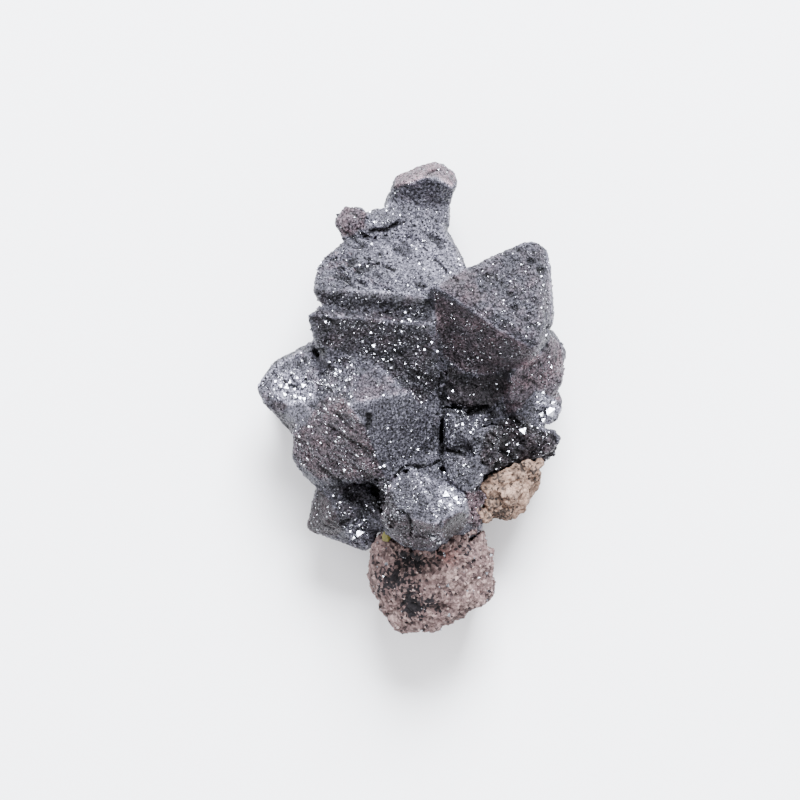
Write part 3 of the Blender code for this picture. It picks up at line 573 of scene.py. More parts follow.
def mesh_evenly(piece, grid):
    """Rebuilds a piece's surface from small even faces."""
    remesh = piece.modifiers.new("Even mesh", "REMESH")
    remesh.mode = "VOXEL"
    remesh.voxel_size = grid
    apply_modifiers(piece)


def thin_out(piece, triangles):
    """Gives a piece fewer faces where it is flat, if it has more than it may."""
    count = sum(len(face.vertices) - 2 for face in piece.data.polygons)
    if count > triangles:
        decimate = piece.modifiers.new("Thin flat parts", "DECIMATE")
        decimate.ratio = triangles / count
        apply_modifiers(piece)


def drop_scraps(piece):
    """Keeps the largest connected part of a piece, as triangles."""
    shape = bmesh.new()
    shape.from_mesh(piece.data)
    unseen, parts = set(shape.verts), []
    while unseen:
        part, ends = set(), [unseen.pop()]
        while ends:
            corner = ends.pop()
            part.add(corner)
            for edge in corner.link_edges:
                other = edge.other_vert(corner)
                if other in unseen:
                    unseen.remove(other)
                    ends.append(other)
        parts.append(part)
    parts.sort(key=len)
    scraps = [corner for part in parts[:-1] for corner in part]
    bmesh.ops.delete(shape, geom=scraps, context="VERTS")
    bmesh.ops.triangulate(shape, faces=[face for face in shape.faces if len(face.verts) > 3])
    shape.to_mesh(piece.data)
    shape.free()


def places_and_normals(mesh):
    """Every vertex's place in mm, and its normal."""
    places = np.empty(len(mesh.vertices) * 3)
    mesh.vertices.foreach_get("co", places)
    normals = np.empty(len(mesh.vertices) * 3)
    mesh.vertex_normals.foreach_get("vector", normals)
    return places.reshape(-1, 3) / MM, normals.reshape(-1, 3)


def place_vertices(piece, places):
    """Puts every vertex of a piece at its place in mm."""
    piece.data.vertices.foreach_set("co", (places * MM).ravel())
    piece.data.update()


def push_out(piece, height):
    """Moves every vertex of a piece out by its height in mm, and none below the table."""
    places, normals = places_and_normals(piece.data)
    places += normals * height[:, None]
    places[:, 2] = np.maximum(places[:, 2], TABLE_GAP)
    place_vertices(piece, places)


def noise_at(places, frequency, seed):
    """Smooth noise from -1 to 1 at every place, with so many waves per mm."""
    shift = Vector((seed, seed * 0.7, seed * -1.3))
    return np.array([noise.noise(Vector(place) * frequency + shift) for place in places])


def layered_noise(places, layers):
    """The sum of several noises, each with its waves per mm, its height and its seed."""
    return sum(height * noise_at(places, frequency, seed) for frequency, height, seed in layers)


def cells_at(places, frequency):
    """Distances to the nearest two points of a random set at every place, in cells."""
    return np.array([noise.voronoi(Vector(place) * frequency)[0][:2] for place in places])


def facing_front(normals):
    """1 on the front, fading to 0 on the sides and the back."""
    return np.clip(normals[:, 2] * 1.6 + 0.5, 0, 1)


def inside_outline(places, corners):
    """Whether each place lies within a closed outline, seen from the front."""
    inside = np.zeros(len(places), bool)
    for (x0, y0), (x1, y1) in zip(corners, corners[1:] + corners[:1]):
        if y0 == y1:
            continue
        crosses = (places[:, 1] > y0) != (places[:, 1] > y1)
        edge_x = x0 + (places[:, 1] - y0) * (x1 - x0) / (y1 - y0)
        inside ^= crosses & (places[:, 0] < edge_x)
    return inside


def facet_values(places, normals):
    """Light, brown, sparkle and relief at each place: the sum of the facets it lies in, with painted
    highlights along the ridges. The light is partly the faces' own tone, partly painted light and shade.
    """
    facing = facing_front(normals)
    wander = FACET_WANDER * noise_at(places, 0.9, 61.0)
    total = np.zeros((len(places), len(FACETS[0][1])))
    # Painted highlights along the ridges
    for corners in RIDGES:
        near = smooth_fall(distance_to_line(places, corners) + np.abs(wander), RIDGE_WIDTH) * facing
        total[:, 0] += RIDGE_PAINTED_HIGHLIGHT * near
    for name, values, corners in FACETS:
        depth = distance_to_line(places, corners + corners[:1])
        depth = np.where(inside_outline(places, corners), depth, -depth) + wander
        part = eased(0.5 + 0.5 * depth / FACET_EDGE)
        total += (part * facing)[:, None] * np.array(values)
    return total


def patch_values(places, normals, patches):
    """Sum of the round patches at each place, faded out on the sides and the back."""
    facing = facing_front(normals)
    total = np.zeros((len(places), len(patches[0]) - 4))
    for patch in patches:
        x, y, reach = patch[1:4]
        away = np.hypot(places[:, 0] - x, places[:, 1] - y)
        weight = smooth_fall(away, reach * PATCH_SPREAD) * facing
        total += weight[:, None] * np.array(patch[4:])
    return total


def paint(piece, front, elsewhere, mottle):
    """Writes three values into the piece's colour attribute: those of its front, and one set for
    its sides and back, mottled there in the first two."""
    places, normals = places_and_normals(piece.data)
    values = front(places, normals)[:, :3]
    sides = np.clip(0.4 - normals[:, 2], 0, 1)
    values += sides[:, None] * np.array(elsewhere)
    values[:, 0] += mottle[0] * sides * noise_at(places, 0.2, 33.0)
    values[:, 1] += mottle[1] * sides * noise_at(places, 0.13, 35.0)
    colours = np.ones((len(places), 4))
    colours[:, :3] = np.clip(0.5 + 0.5 * values, 0, 1)
    # On the crystals the first value is painted light and shade, partly the faces' own tone
    colours[:, 0] = np.clip(np.exp(LIGHT_RANGE * values[:, 0]) / LIGHT_MOST, 0, 1)
    layer = piece.data.color_attributes.new(SHADE, "FLOAT_COLOR", "POINT")
    layer.data.foreach_set("color", colours.ravel())


def note_hollows(piece, openness):
    """Writes how open each vertex lies into the piece's attribute for it."""
    layer = piece.data.attributes.new(HOLLOWS, "FLOAT", "POINT")
    layer.data.foreach_set("value", np.clip(openness, 0, 1))


def distance_to_line(places, corners):
    """How far each place is, seen from the front, from a line of straight stretches."""
    nearest = np.full(len(places), np.inf)
    for start, end in zip(corners, corners[1:]):
        along = np.subtract(end, start)
        relative = places[:, :2] - np.array(start)
        part = np.clip(relative @ along / (along @ along), 0, 1)
        gap = relative - part[:, None] * along
        nearest = np.minimum(nearest, np.hypot(gap[:, 0], gap[:, 1]))
    return nearest


def carved(places, normals):
    """How deep the cracks and the pits cut the front at each place, in mm."""
    wander = noise_at(places, 1.3, 4.0)
    depth = np.zeros(len(places))
    for corners, half_width, deepest in CRACKS:
        away = np.abs(distance_to_line(places, corners) + 0.12 * wander)
        depth = np.maximum(depth, deepest * smooth_fall(away, half_width * 2.2))
    for x, y, reach, deepest in PITS:
        away = np.hypot(places[:, 0] - x, (places[:, 1] - y) * 1.5) * (1 + 0.3 * wander)
        depth = np.maximum(depth, deepest * smooth_fall(away, reach))
    return depth * np.clip(normals[:, 2] * 3, 0, 1)


def hematite_relief(piece, sizes):
    """Height of each vertex in mm: broad waves, growth ledges, grain, cracks and pits."""
    places, normals = places_and_normals(piece.data)
    roughness = 1 + facet_values(places, normals)[:, 3]
    roughness += (1 - facing_front(normals)) * (0.2 + 1.6 * noise_at(places, 0.22, 41.0))
    roughness = np.clip(roughness, 0.2, 2.4)
    broad = layered_noise(places, FACE_WAVES)
    steps = 5 * noise_at(places * np.array([1.0, 1.6, 1.2]), 0.55, 8.0)
    ledges = np.floor(steps) + np.clip(4 * (steps - np.floor(steps)), 0, 1) - steps
    grains = cells_at(places, 2.3)
    grain_tops = 2 * np.clip(grains[:, 1] - grains[:, 0], 0, 0.5) - 0.4
    fine = layered_noise(places, FACE_GRAIN) + 0.9 * grain_tops
    slanted = places @ CRUMBLE_SLANT
    crumbled = np.clip(noise_at(slanted, 0.95, 23.0) - 0.12, 0, 1) * np.clip(roughness - 0.6, 0, 1.5)
    broad_height = (sizes.unevenness * broad + sizes.ledge * ledges) / MM
    fine_height = sizes.grain / MM * fine * roughness - sizes.crumble / MM * crumbled
    fine_height -= carved(places, normals)
    for corners in RIDGES:
        near = smooth_fall(distance_to_line(places, corners), RIDGE_WIDTH)
        fine_height += RIDGE_HEIGHT * near * facing_front(normals)
    # How open each place lies, which the material turns into painted shade in the cracks, pits and hollows
    note_hollows(piece, 0.5 + fine_height / 0.4)
    return broad_height * np.clip(0.35 + 0.65 * roughness, 0.3, 1.6) + fine_height


def rock_relief(piece, grain, depth):
    """Height of each vertex in mm: lumps, crevices between grains, pits and fine grit."""
    places = places_and_normals(piece.data)[0]
    grains = cells_at(places, MM / grain)
    crevices = np.clip(0.22 - (grains[:, 1] - grains[:, 0]), 0, 1) * 3
    lumps = layered_noise(places, ROCK_LUMPS)
    pits = np.clip(noise_at(places, 1.7, 7.0) - 0.12, 0, 1) * 3
    grit = layered_noise(places, ROCK_GRIT)
    height = depth * (1.3 * lumps - 0.4 * crevices - 0.6 * pits + 0.7 * grit)
    # How open each place lies, which the material turns into painted shade in the crevices and pits
    note_hollows(piece, 0.75 + height / depth / 2.4)
    return height


def turned_and_placed(place, normal, radius, chance, lean):
    """The matrix of a small crystal that sits on the surface, leaning at random."""
    turn = Vector(normal).to_track_quat("Z", "Y").to_matrix().to_4x4()
    tilt = Euler((chance.uniform(-lean, lean), chance.uniform(-lean, lean), chance.uniform(0, math.tau)))
    return Matrix.Translation(place) @ turn @ tilt.to_matrix().to_4x4() @ Matrix.Scale(radius, 4)


def plate_matrix(place, radius, towards, chance):
    """The matrix of an octahedron with one face turned that way and a random spin about FLASH."""
    turn = Vector((1, 1, 1)).normalized().rotation_difference(towards).to_matrix().to_4x4()
    spin = Matrix.Rotation(chance.uniform(0, math.tau), 4, FLASH)
    return Matrix.Translation(place) @ spin @ turn @ Matrix.Scale(radius, 4)


def octahedron():
    """One octahedron of radius 1."""
    shape = bmesh.new()
    bmesh.ops.create_uvsphere(shape, u_segments=4, v_segments=2, radius=1.0)
    return shape


def angular_grain():
    """One uneven grain of radius 1."""
    shape = bmesh.new()
    bmesh.ops.create_icosphere(shape, subdivisions=1, radius=1.0)
    for corner in shape.verts:
        corner.co *= 1 + 0.35 * noise.noise(corner.co * 1.7)
    return shape


def joined_copies(name, shape, transforms):
    """One piece of many copies of a small shape, each with its own matrix."""
    corners = np.array([corner.co[:] for corner in shape.verts])
    faces = np.array([[corner.index for corner in face.verts] for face in shape.faces])
    shape.free()
    turns = np.array([[row[:] for row in transform.to_3x3()] for transform in transforms])
    offsets = np.array([transform.translation[:] for transform in transforms])
    points = np.einsum("nij,kj->nki", turns, corners) + offsets[:, None, :]
    steps = np.arange(len(transforms))[:, None, None] * len(corners)
    mesh = bpy.data.meshes.new(name)
    mesh.from_pydata(points.reshape(-1, 3).tolist(), [],
                     (faces[None] + steps).reshape(-1, faces.shape[1]).tolist())
    return in_scene(name, mesh)


def face_data(mesh):
    """Middle, normal and area of every face."""
    middles = np.empty(len(mesh.polygons) * 3)
    mesh.polygons.foreach_get("center", middles)
    normals = np.empty(len(mesh.polygons) * 3)
    mesh.polygons.foreach_get("normal", normals)
    areas = np.empty(len(mesh.polygons))
    mesh.polygons.foreach_get("area", areas)
    return middles.reshape(-1, 3), normals.reshape(-1, 3), areas


def sprinkled(name, carrier, shape, count, radii, density, seed, lean=0.9, sunk=0.25):
    """Copies of a small shape on a piece's faces, more of them where the density is higher."""
    chance = random.Random(seed)
    middles, normals, areas = face_data(carrier.data)
    places = middles / MM
    weights = areas * density(places, normals)
    chosen = chance.choices(range(len(weights)), weights=weights.tolist(), k=count)
    smallest, largest = radii
    transforms = []
    for face in chosen:
        radius = smallest + (largest - smallest) * chance.random() ** 2.5
        place = middles[face] - normals[face] * radius * sunk
        if place[2] > radius:
            transforms.append(turned_and_placed(place, normals[face], radius, chance, lean))
    return joined_copies(name, shape, transforms)


def top_of(names, place):
    """The highest vertex of some pieces near a place on the front."""
    found = []
    for name in names:
        places = places_and_normals(bpy.data.objects[name].data)[0]
        near = np.hypot(places[:, 0] - place[0], places[:, 1] - place[1]) < TOP_REACH
        found.extend(places[near].tolist())
    return Vector(max(found, key=lambda corner: corner[2])) * MM


def sparkle_density(places, normals):
    """How thick the druse is: by facet on the front, thin and uneven elsewhere."""
    sparkle = np.clip(facet_values(places, normals)[:, 2], 0, 1)
    uneven = np.clip(0.55 + 1.3 * noise_at(places, 0.5, 31.0), 0.05, 2)
    return np.where(normals[:, 2] > -0.1, 0.12 + sparkle, 0.2) * uneven


def glint_density(places, normals):
    """Where plates flash: by facet, and only on the front."""
    sparkle = np.clip(facet_values(places, normals)[:, 2], 0, 1.6)
    uneven = np.clip(0.6 + 1.5 * noise_at(places, 0.6, 33.0), 0.1, 2)
    return np.where(normals[:, 2] > 0.1, 0.06 + sparkle, 0) * uneven


def coarse_density(places, normals):
    """Where crystals can be told apart: mostly along uneven stretches of the front."""
    relief = 1 + facet_values(places, normals)[:, 3]
    uneven = np.clip(2.6 * noise_at(places, 0.42, 47.0) - 0.1, 0, 2)
    return np.where(normals[:, 2] > -0.3, np.clip(relief - 0.55, 0, 2) ** 2, 0.15) * uneven


def front_surface(corners, faces):
    """Finds the place and the normal where a line from straight above meets the faces."""
    tree = BVHTree.FromPolygons([corner.co / MM for corner in corners], faces)
    return lambda x, y: tree.ray_cast(Vector((x, y, 60)), Vector((0, 0, -1)))[:2]


def add_studs(shape, more):
    """Sets octahedra into the front: those that can be told apart, and more around facet corners."""
    shape.verts.ensure_lookup_table()
    shape.verts.index_update()
    surface = front_surface(shape.verts, [[corner.index for corner in face.verts] for face in shape.faces])
    chance = random.Random(3)
    studs = list(STUDS)
    outline = [corner for facet in FACETS for corner in facet[2]]
    while len(studs) < len(STUDS) + more:
        x, y = chance.choice(outline)
        studs.append((x + chance.gauss(0, STUD_SCATTER), y + chance.gauss(0, STUD_SCATTER),
                      chance.uniform(*STUD_RADII)))
    for x, y, radius in studs:
        place, normal = surface(x, y)
        if place is None or place.z < LOWEST_STUD or normal.z < STEEPEST_STUD:
            continue
        matrix = turned_and_placed((place - normal * radius * STUD_SUNK) * MM, normal, radius * MM,
                                   chance, STUD_LEAN)
        bmesh.ops.create_uvsphere(shape, u_segments=4, v_segments=2, radius=1.0, matrix=matrix)


def add_lumps(shape, lumps, seed):
    """Adds round lumps of druse or rock at given places in mm."""
    chance = random.Random(seed)
    for x, y, z, radius in lumps:
        turn = Euler([chance.uniform(0, math.tau) for axis in range(3)]).to_matrix().to_4x4()
        matrix = Matrix.Translation(Vector((x, y, z)) * MM) @ turn @ Matrix.Scale(radius * MM, 4)
        bmesh.ops.create_icosphere(shape, subdivisions=1, radius=1.0, matrix=matrix)


def lower_groove(piece):
    """Slides the groove of the great octahedron down its face to where it really runs, and blunts the
    left end of the ledge below it."""
    places = places_and_normals(piece.data)[0]
    above_ledge = places[:, 1] - np.interp(places[:, 0], *LEDGE_LINE)
    share = np.interp(above_ledge, *GROOVE_SLIDE)
    in_groove = np.clip((GROOVE_RIGHT_END - places[:, 0]) / 0.8, 0, 1)
    share *= in_groove * np.clip((places[:, 2] - GROOVE_BACK) / 2, 0, 1)
    past_left_end = np.clip((LEDGE_LEFT_END - places[:, 0]) / 0.7, 0, 1)
    share += past_left_end * np.interp(above_ledge, *LEDGE_BLUNTING)
    places[:, 1] -= share
    place_vertices(piece, places)


def front_heights(places, cell):
    """The highest vertex in every cell of a grid over the front, and each vertex's cell."""
    lowest = places[:, :2].min(axis=0) - 2 * cell
    cells = ((places[:, :2] - lowest) / cell).astype(int)
    heights = np.full(cells.max(axis=0) + 3, -np.inf)
    np.maximum.at(heights, (cells[:, 0], cells[:, 1]), places[:, 2])
    return heights, cells


def shifted(grid, steps):
    """The grid moved by every step of a round neighbourhood, with nothing beyond its edge."""
    wide = np.pad(grid, steps, constant_values=-np.inf)
    for i in range(-steps, steps + 1):
        for j in range(-steps, steps + 1):
            if i * i + j * j <= steps * steps:
                yield wide[steps + i:steps + i + grid.shape[0], steps + j:steps + j + grid.shape[1]]


def close_gaps(piece, width):
    """Raises the floor of every gap that is narrower than the width, as druse fills it."""
    places = places_and_normals(piece.data)[0]
    heights, cells = front_heights(places, GAP_CELL)
    steps = round(width / 2 / GAP_CELL)
    filled = np.full_like(heights, -np.inf)
    for moved in shifted(heights, steps):
        filled = np.maximum(filled, moved)
    closed = np.full_like(heights, np.inf)
    for moved in shifted(filled, steps):
        closed = np.minimum(closed, moved)
    lowest = np.full_like(heights, np.inf)
    for moved in shifted(heights, 1):
        lowest = np.minimum(lowest, moved)
    at = (cells[:, 0], cells[:, 1])
    front = np.where(np.isfinite(lowest[at]), lowest[at], heights[at]) - FRONT_DEPTH
    in_gap = (places[:, 2] > front) & np.isfinite(closed[at])
    gap = np.where(in_gap, closed[at] - places[:, 2] - GAP_LEFT, 0)
    places[:, 2] += GAP_FILLED * np.maximum(gap, 0)
    place_vertices(piece, places)


def even_density(places, normals):
    """The same everywhere."""
    return np.ones(len(places))


# Materials

# Sockets of a Mix node that mixes colours
MIX_A, MIX_B, MIX_RESULT = 6, 7, 2


def add(tree, kind, settings=None, values=None, links=None):
    """Adds a node with its settings, the values of its sockets and what feeds them."""
    made = tree.nodes.new(kind)
    for name, value in (settings or {}).items():
        setattr(made, name, value)
    for socket, value in (values or {}).items():
        made.inputs[socket].default_value = value
    for socket, source in (links or {}).items():
        tree.links.new(source, made.inputs[socket])
    return made


def from_to(low, high, least=0.0, most=1.0):
    """Socket values of a Map Range node that turns low to high into least to most."""
    return {1: low, 2: high, 3: least, 4: most}


def started(name, metallic, roughness):
    """A new material, its node tree and its shader."""
    material = bpy.data.materials.new(name)
    material.use_nodes = True
    shader = material.node_tree.nodes["Principled BSDF"]
    shader.inputs["Metallic"].default_value = metallic
    shader.inputs["Roughness"].default_value = roughness
    return material, material.node_tree, shader


def hematite_material(colours):
    """Hematite after magnetite, porous and slightly oxidised: a dull dark metal grey, purple-brown
    in places, with tiny mirror-like plates of which a few at a time flash silver."""
    material, tree, shader = started("oxidised hematite", 0.6, 0.5)
    place = add(tree, "ShaderNodeTexCoord").outputs["Object"]
    patch = add(tree, "ShaderNodeAttribute", {"attribute_name": SHADE}).outputs["Color"]
    values = add(tree, "ShaderNodeSeparateColor", links={0: patch}).outputs
    # Cleaner and browner stretches, about two millimetres wide
    mottle = add(tree, "ShaderNodeTexNoise",
                 values={"Scale": 0.5 / MM, "Detail": 6.0, "Roughness": 0.65},
                 links={"Vector": place}).outputs[0]
    # Pores and crystal edges: many are finer than this quarter of a millimetre, and wouldn't show. As
    # colour they give a random tone with painted shade in the pores and painted highlights on the edges
    specks = add(tree, "ShaderNodeTexNoise",
                 values={"Scale": 3.8 / MM, "Detail": 4.0, "Roughness": 0.8},
                 links={"Vector": place}).outputs[0]
    mottled_brown = add(tree, "ShaderNodeMath", {"operation": "MULTIPLY_ADD"},
                        {1: 0.8}, {0: mottle, 2: values[1]}).outputs[0]
    brown_part = add(tree, "ShaderNodeMapRange", values=from_to(0.93, 1.3),
                     links={0: mottled_brown}).outputs[0]
    body = add(tree, "ShaderNodeMix", {"data_type": "RGBA"},
               {MIX_A: linear(colours.hematite), MIX_B: linear(colours.brown)},
               {0: brown_part}).outputs[MIX_RESULT]
    # The facet's first value: partly its tone, partly painted light and shade, with painted highlights
    # along the ridges
    facet_tone_and_painted_light = add(tree, "ShaderNodeMath", {"operation": "MULTIPLY"}, {1: LIGHT_MOST},
                      {0: values[0]}).outputs[0]
    # Painted shade in the pores and painted highlights on the crystal edges, with a random tone
    speck_tone_and_painted_shade = add(tree, "ShaderNodeMapRange", values=from_to(0.43, 0.59, 0.05, 2.3),
                      links={0: specks}).outputs[0]
    # Painted shade in the cracks, pits and hollows, and painted light on the tips
    hollow = add(tree, "ShaderNodeAttribute", {"attribute_name": HOLLOWS}).outputs["Fac"]
    painted_hollow_shade = add(tree, "ShaderNodeMapRange", values=from_to(0.1, 0.75, 0.2, 1.35),
                       links={0: hollow}).outputs[0]
    mottle_light = add(tree, "ShaderNodeMapRange", values=from_to(0.3, 0.7, 0.65, 1.38),
                       links={0: mottle}).outputs[0]
    light = facet_tone_and_painted_light
    for factor in (speck_tone_and_painted_shade, mottle_light, painted_hollow_shade):
        light = add(tree, "ShaderNodeMath", {"operation": "MULTIPLY"},
                    links={0: light, 1: factor}).outputs[0]
    colour = add(tree, "ShaderNodeVectorMath", {"operation": "SCALE"},
                 links={0: body, 3: light}).outputs[0]
    tree.links.new(colour, shader.inputs["Base Color"])

    # Mirror-like plates, drawn a sixth of a millimetre wide so that they show
    plates = add(tree, "ShaderNodeTexVoronoi", values={"Scale": 6.2 / MM}, links={"Vector": place})
    plate_channels = add(tree, "ShaderNodeSeparateColor", links={0: plates.outputs["Color"]}).outputs
    flashing = add(tree, "ShaderNodeMath", {"operation": "MULTIPLY"},
                   links={0: plate_channels[0], 1: values[2]}).outputs[0]
    gloss = add(tree, "ShaderNodeMapRange", values=from_to(0.35, 0.85, 0.55, 0.2),
                links={0: flashing}).outputs[0]
    tree.links.new(gloss, shader.inputs["Roughness"])

    outward = add(tree, "ShaderNodeNewGeometry").outputs["Normal"]
    lean = add(tree, "ShaderNodeVectorMath", {"operation": "SUBTRACT"}, {1: (0.5, 0.5, 0.5)},
               {0: plates.outputs["Color"]}).outputs[0]
    lean_size = add(tree, "ShaderNodeMapRange", values=from_to(0.45, 1.0, 1.3, 1.9),
                    links={0: values[2]}).outputs[0]
    lean = add(tree, "ShaderNodeVectorMath", {"operation": "SCALE"},
               links={0: lean, 3: lean_size}).outputs[0]
    leaning = add(tree, "ShaderNodeVectorMath", {"operation": "ADD"},
                  links={0: outward, 1: lean}).outputs[0]
    leaning = add(tree, "ShaderNodeVectorMath", {"operation": "NORMALIZE"},
                  links={0: leaning}).outputs[0]
    bump = add(tree, "ShaderNodeBump", values={"Strength": 1.0, "Distance": 0.1 * MM},
               links={"Height": specks, "Normal": leaning}).outputs[0]
    tree.links.new(bump, shader.inputs["Normal"])
    return material


def plate_material(colours):
    """Fresh hematite plates and crystal tips: the same metal, clean and nearly mirror-like."""
    material, tree, shader = started("fresh hematite", 0.85, 0.22)
    place = add(tree, "ShaderNodeTexCoord").outputs["Object"]
    shade = add(tree, "ShaderNodeTexNoise", values={"Scale": 3.0 / MM, "Detail": 2.0},
                links={"Vector": place}).outputs[0]
    level = add(tree, "ShaderNodeMapRange", values=from_to(0.3, 0.7), links={0: shade}).outputs[0]
    colour = add(tree, "ShaderNodeMix", {"data_type": "RGBA"},
                 {MIX_A: linear(colours.hematite), MIX_B: linear(colours.plates)},
                 {0: level}).outputs[MIX_RESULT]
    tree.links.new(colour, shader.inputs["Base Color"])
    return material


def rock_material(name, body_colour, pale_colour, dark_colour, rust_colour, grain):
    """Volcanic rock: matte, every grain a slightly different tint, with dark specks of hematite,
    pale feldspar and a rusty stain."""
    material, tree, shader = started(name, 0.0, 0.85)
    shader.inputs["Specular IOR Level"].default_value = 0.2
    place = add(tree, "ShaderNodeTexCoord").outputs["Object"]
    patch = add(tree, "ShaderNodeAttribute", {"attribute_name": SHADE}).outputs["Color"]
    values = add(tree, "ShaderNodeSeparateColor", links={0: patch}).outputs
    # Grains of feldspar and glass, each with a tint of its own
    grains = add(tree, "ShaderNodeTexVoronoi", values={"Scale": 1.7 / grain},
                 links={"Vector": place}).outputs["Color"]
    tints = add(tree, "ShaderNodeSeparateColor", links={0: grains}).outputs
    # Grit between the grains, under half a millimetre wide
    grit = add(tree, "ShaderNodeTexNoise",
               values={"Scale": 2.2 / MM, "Detail": 5.0, "Roughness": 0.7},
               links={"Vector": place}).outputs[0]
    # Pale grains and pale patches, of which the pale face and bevel are partly a painted highlight
    pale = add(tree, "ShaderNodeMath", {"operation": "MULTIPLY_ADD"}, {1: 0.7},
               {0: tints[0], 2: values[2]}).outputs[0]
    pale = add(tree, "ShaderNodeMapRange", values=from_to(0.8, 1.35), links={0: pale}).outputs[0]
    colour = add(tree, "ShaderNodeMix", {"data_type": "RGBA"},
                 {MIX_A: linear(body_colour), MIX_B: linear(pale_colour)},
                 {0: pale}).outputs[MIX_RESULT]
    rust = add(tree, "ShaderNodeMath", {"operation": "MULTIPLY_ADD"}, {1: 0.6},
               {0: grit, 2: values[1]}).outputs[0]
    rust = add(tree, "ShaderNodeMapRange", values=from_to(0.9, 1.3, 0.0, 0.8), links={0: rust}).outputs[0]
    colour = add(tree, "ShaderNodeMix", {"data_type": "RGBA"}, {MIX_B: linear(rust_colour)},
                 {0: rust, MIX_A: colour}).outputs[MIX_RESULT]
    dark = add(tree, "ShaderNodeMath", {"operation": "MULTIPLY_ADD"}, {1: 0.75},
               {0: tints[1], 2: values[0]}).outputs[0]
    dark = add(tree, "ShaderNodeMapRange", values=from_to(0.8, 1.0), links={0: dark}).outputs[0]
    colour = add(tree, "ShaderNodeMix", {"data_type": "RGBA"}, {MIX_B: linear(dark_colour)},
                 {0: dark, MIX_A: colour}).outputs[MIX_RESULT]
    level = add(tree, "ShaderNodeMapRange", values=from_to(0.36, 0.64, 0.42, 1.4),
                links={0: grit}).outputs[0]
    # Painted shade in the crevices and pits
    hollow = add(tree, "ShaderNodeAttribute", {"attribute_name": HOLLOWS}).outputs["Fac"]
    painted_crevice_shade = add(tree, "ShaderNodeMapRange", values=from_to(0.1, 0.8, 0.35, 1.12),
                       links={0: hollow}).outputs[0]
    level = add(tree, "ShaderNodeMath", {"operation": "MULTIPLY"},
                links={0: level, 1: painted_crevice_shade}).outputs[0]
    colour = add(tree, "ShaderNodeVectorMath", {"operation": "SCALE"},
                 links={0: colour, 3: level}).outputs[0]
    tree.links.new(colour, shader.inputs["Base Color"])
    bump = add(tree, "ShaderNodeBump", values={"Strength": 1.0, "Distance": 0.16 * MM},
               links={"Height": grit}).outputs[0]
    tree.links.new(bump, shader.inputs["Normal"])
    return material


def grain_material(name, colour, roughness):
    """One mineral grain: glassy or chalky by its roughness, a little uneven in tone."""
    material, tree, shader = started(name, 0.0, roughness)
    place = add(tree, "ShaderNodeTexCoord").outputs["Object"]
    tone = add(tree, "ShaderNodeTexNoise", values={"Scale": 1.5 / MM, "Detail": 3.0},
               links={"Vector": place}).outputs[0]
    level = add(tree, "ShaderNodeMapRange", values=from_to(0.3, 0.7, 0.7, 1.2),
                links={0: tone}).outputs[0]
    uneven = add(tree, "ShaderNodeVectorMath", {"operation": "SCALE"}, {0: linear(colour)[:3]},
                 {3: level}).outputs[0]
    tree.links.new(uneven, shader.inputs["Base Color"])
    return material


def paper_material(colour):
    """Matte paper: it has no gloss and shows only the soft shadow."""
    material, tree, shader = started("matte paper", 0.0, 0.7)
    shader.inputs["Base Color"].default_value = linear(colour)
    return material


def finished(piece, material, solid=None):
    """Gives a piece its material and slot, and lets it ride on the specimen."""
    piece.data.materials.clear()
    piece.data.materials.append(material)
    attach(piece, "root")
    if solid:
        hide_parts(solid)


class SPECIMEN_OT_crystals(bpy.types.Operator):
    """The intergrown hematite crystals with their weathered, ledged and cracked faces"""

    bl_idname = "specimen.crystals"
    bl_label = "Hematite crystals"

    def execute(self, context):
        sizes = context.scene.specimen_crystals
        shape = merged_copy("crystal_cluster")
        add_studs(shape, sizes.studs)
        add_lumps(shape, PLUGS, seed=2)
        crystals = piece_of("hematite_crystals", shape)
        mesh_evenly(crystals, sizes.grid)
        close_gaps(crystals, sizes.gap_width / MM)
        lower_groove(crystals)
        mesh_evenly(crystals, sizes.grid)
        push_out(crystals, hematite_relief(crystals, sizes))
        thin_out(crystals, sizes.triangles)
        drop_scraps(crystals)
        paint(crystals, facet_values, CRYSTAL_SIDES, CRYSTAL_MOTTLE)
        finished(crystals, hematite_material(context.scene.specimen_colours),
                 "crystal_cluster")
        return {"FINISHED"}


class SPECIMEN_OT_druse(bpy.types.Operator):
    """The small hematite crystals that stud the large ones"""

    bl_idname = "specimen.druse"
    bl_label = "Druse"

    def execute(self, context):
        sizes = context.scene.specimen_druse
        crystals = bpy.data.objects["hematite_crystals"]
        coarse = sprinkled("coarse_druse", crystals, octahedron(), sizes.coarse_count,
                           (LEAST_COARSE, sizes.coarse_radius), coarse_density, seed=5, lean=0.5,
                           sunk=0.35)
        # The coarse crystals take the painted light and shade of the facets under them
        paint(coarse, facet_values, CRYSTAL_SIDES, CRYSTAL_MOTTLE)
        note_hollows(coarse, np.full(len(coarse.data.vertices), 0.65))
        finished(coarse, crystals.data.materials[0])
        fine = sprinkled("fine_druse", crystals, octahedron(), sizes.fine_count,
                         (LEAST_FINE, sizes.fine_radius), sparkle_density, seed=9)
        finished(fine, plate_material(context.scene.specimen_colours))
        return {"FINISHED"}


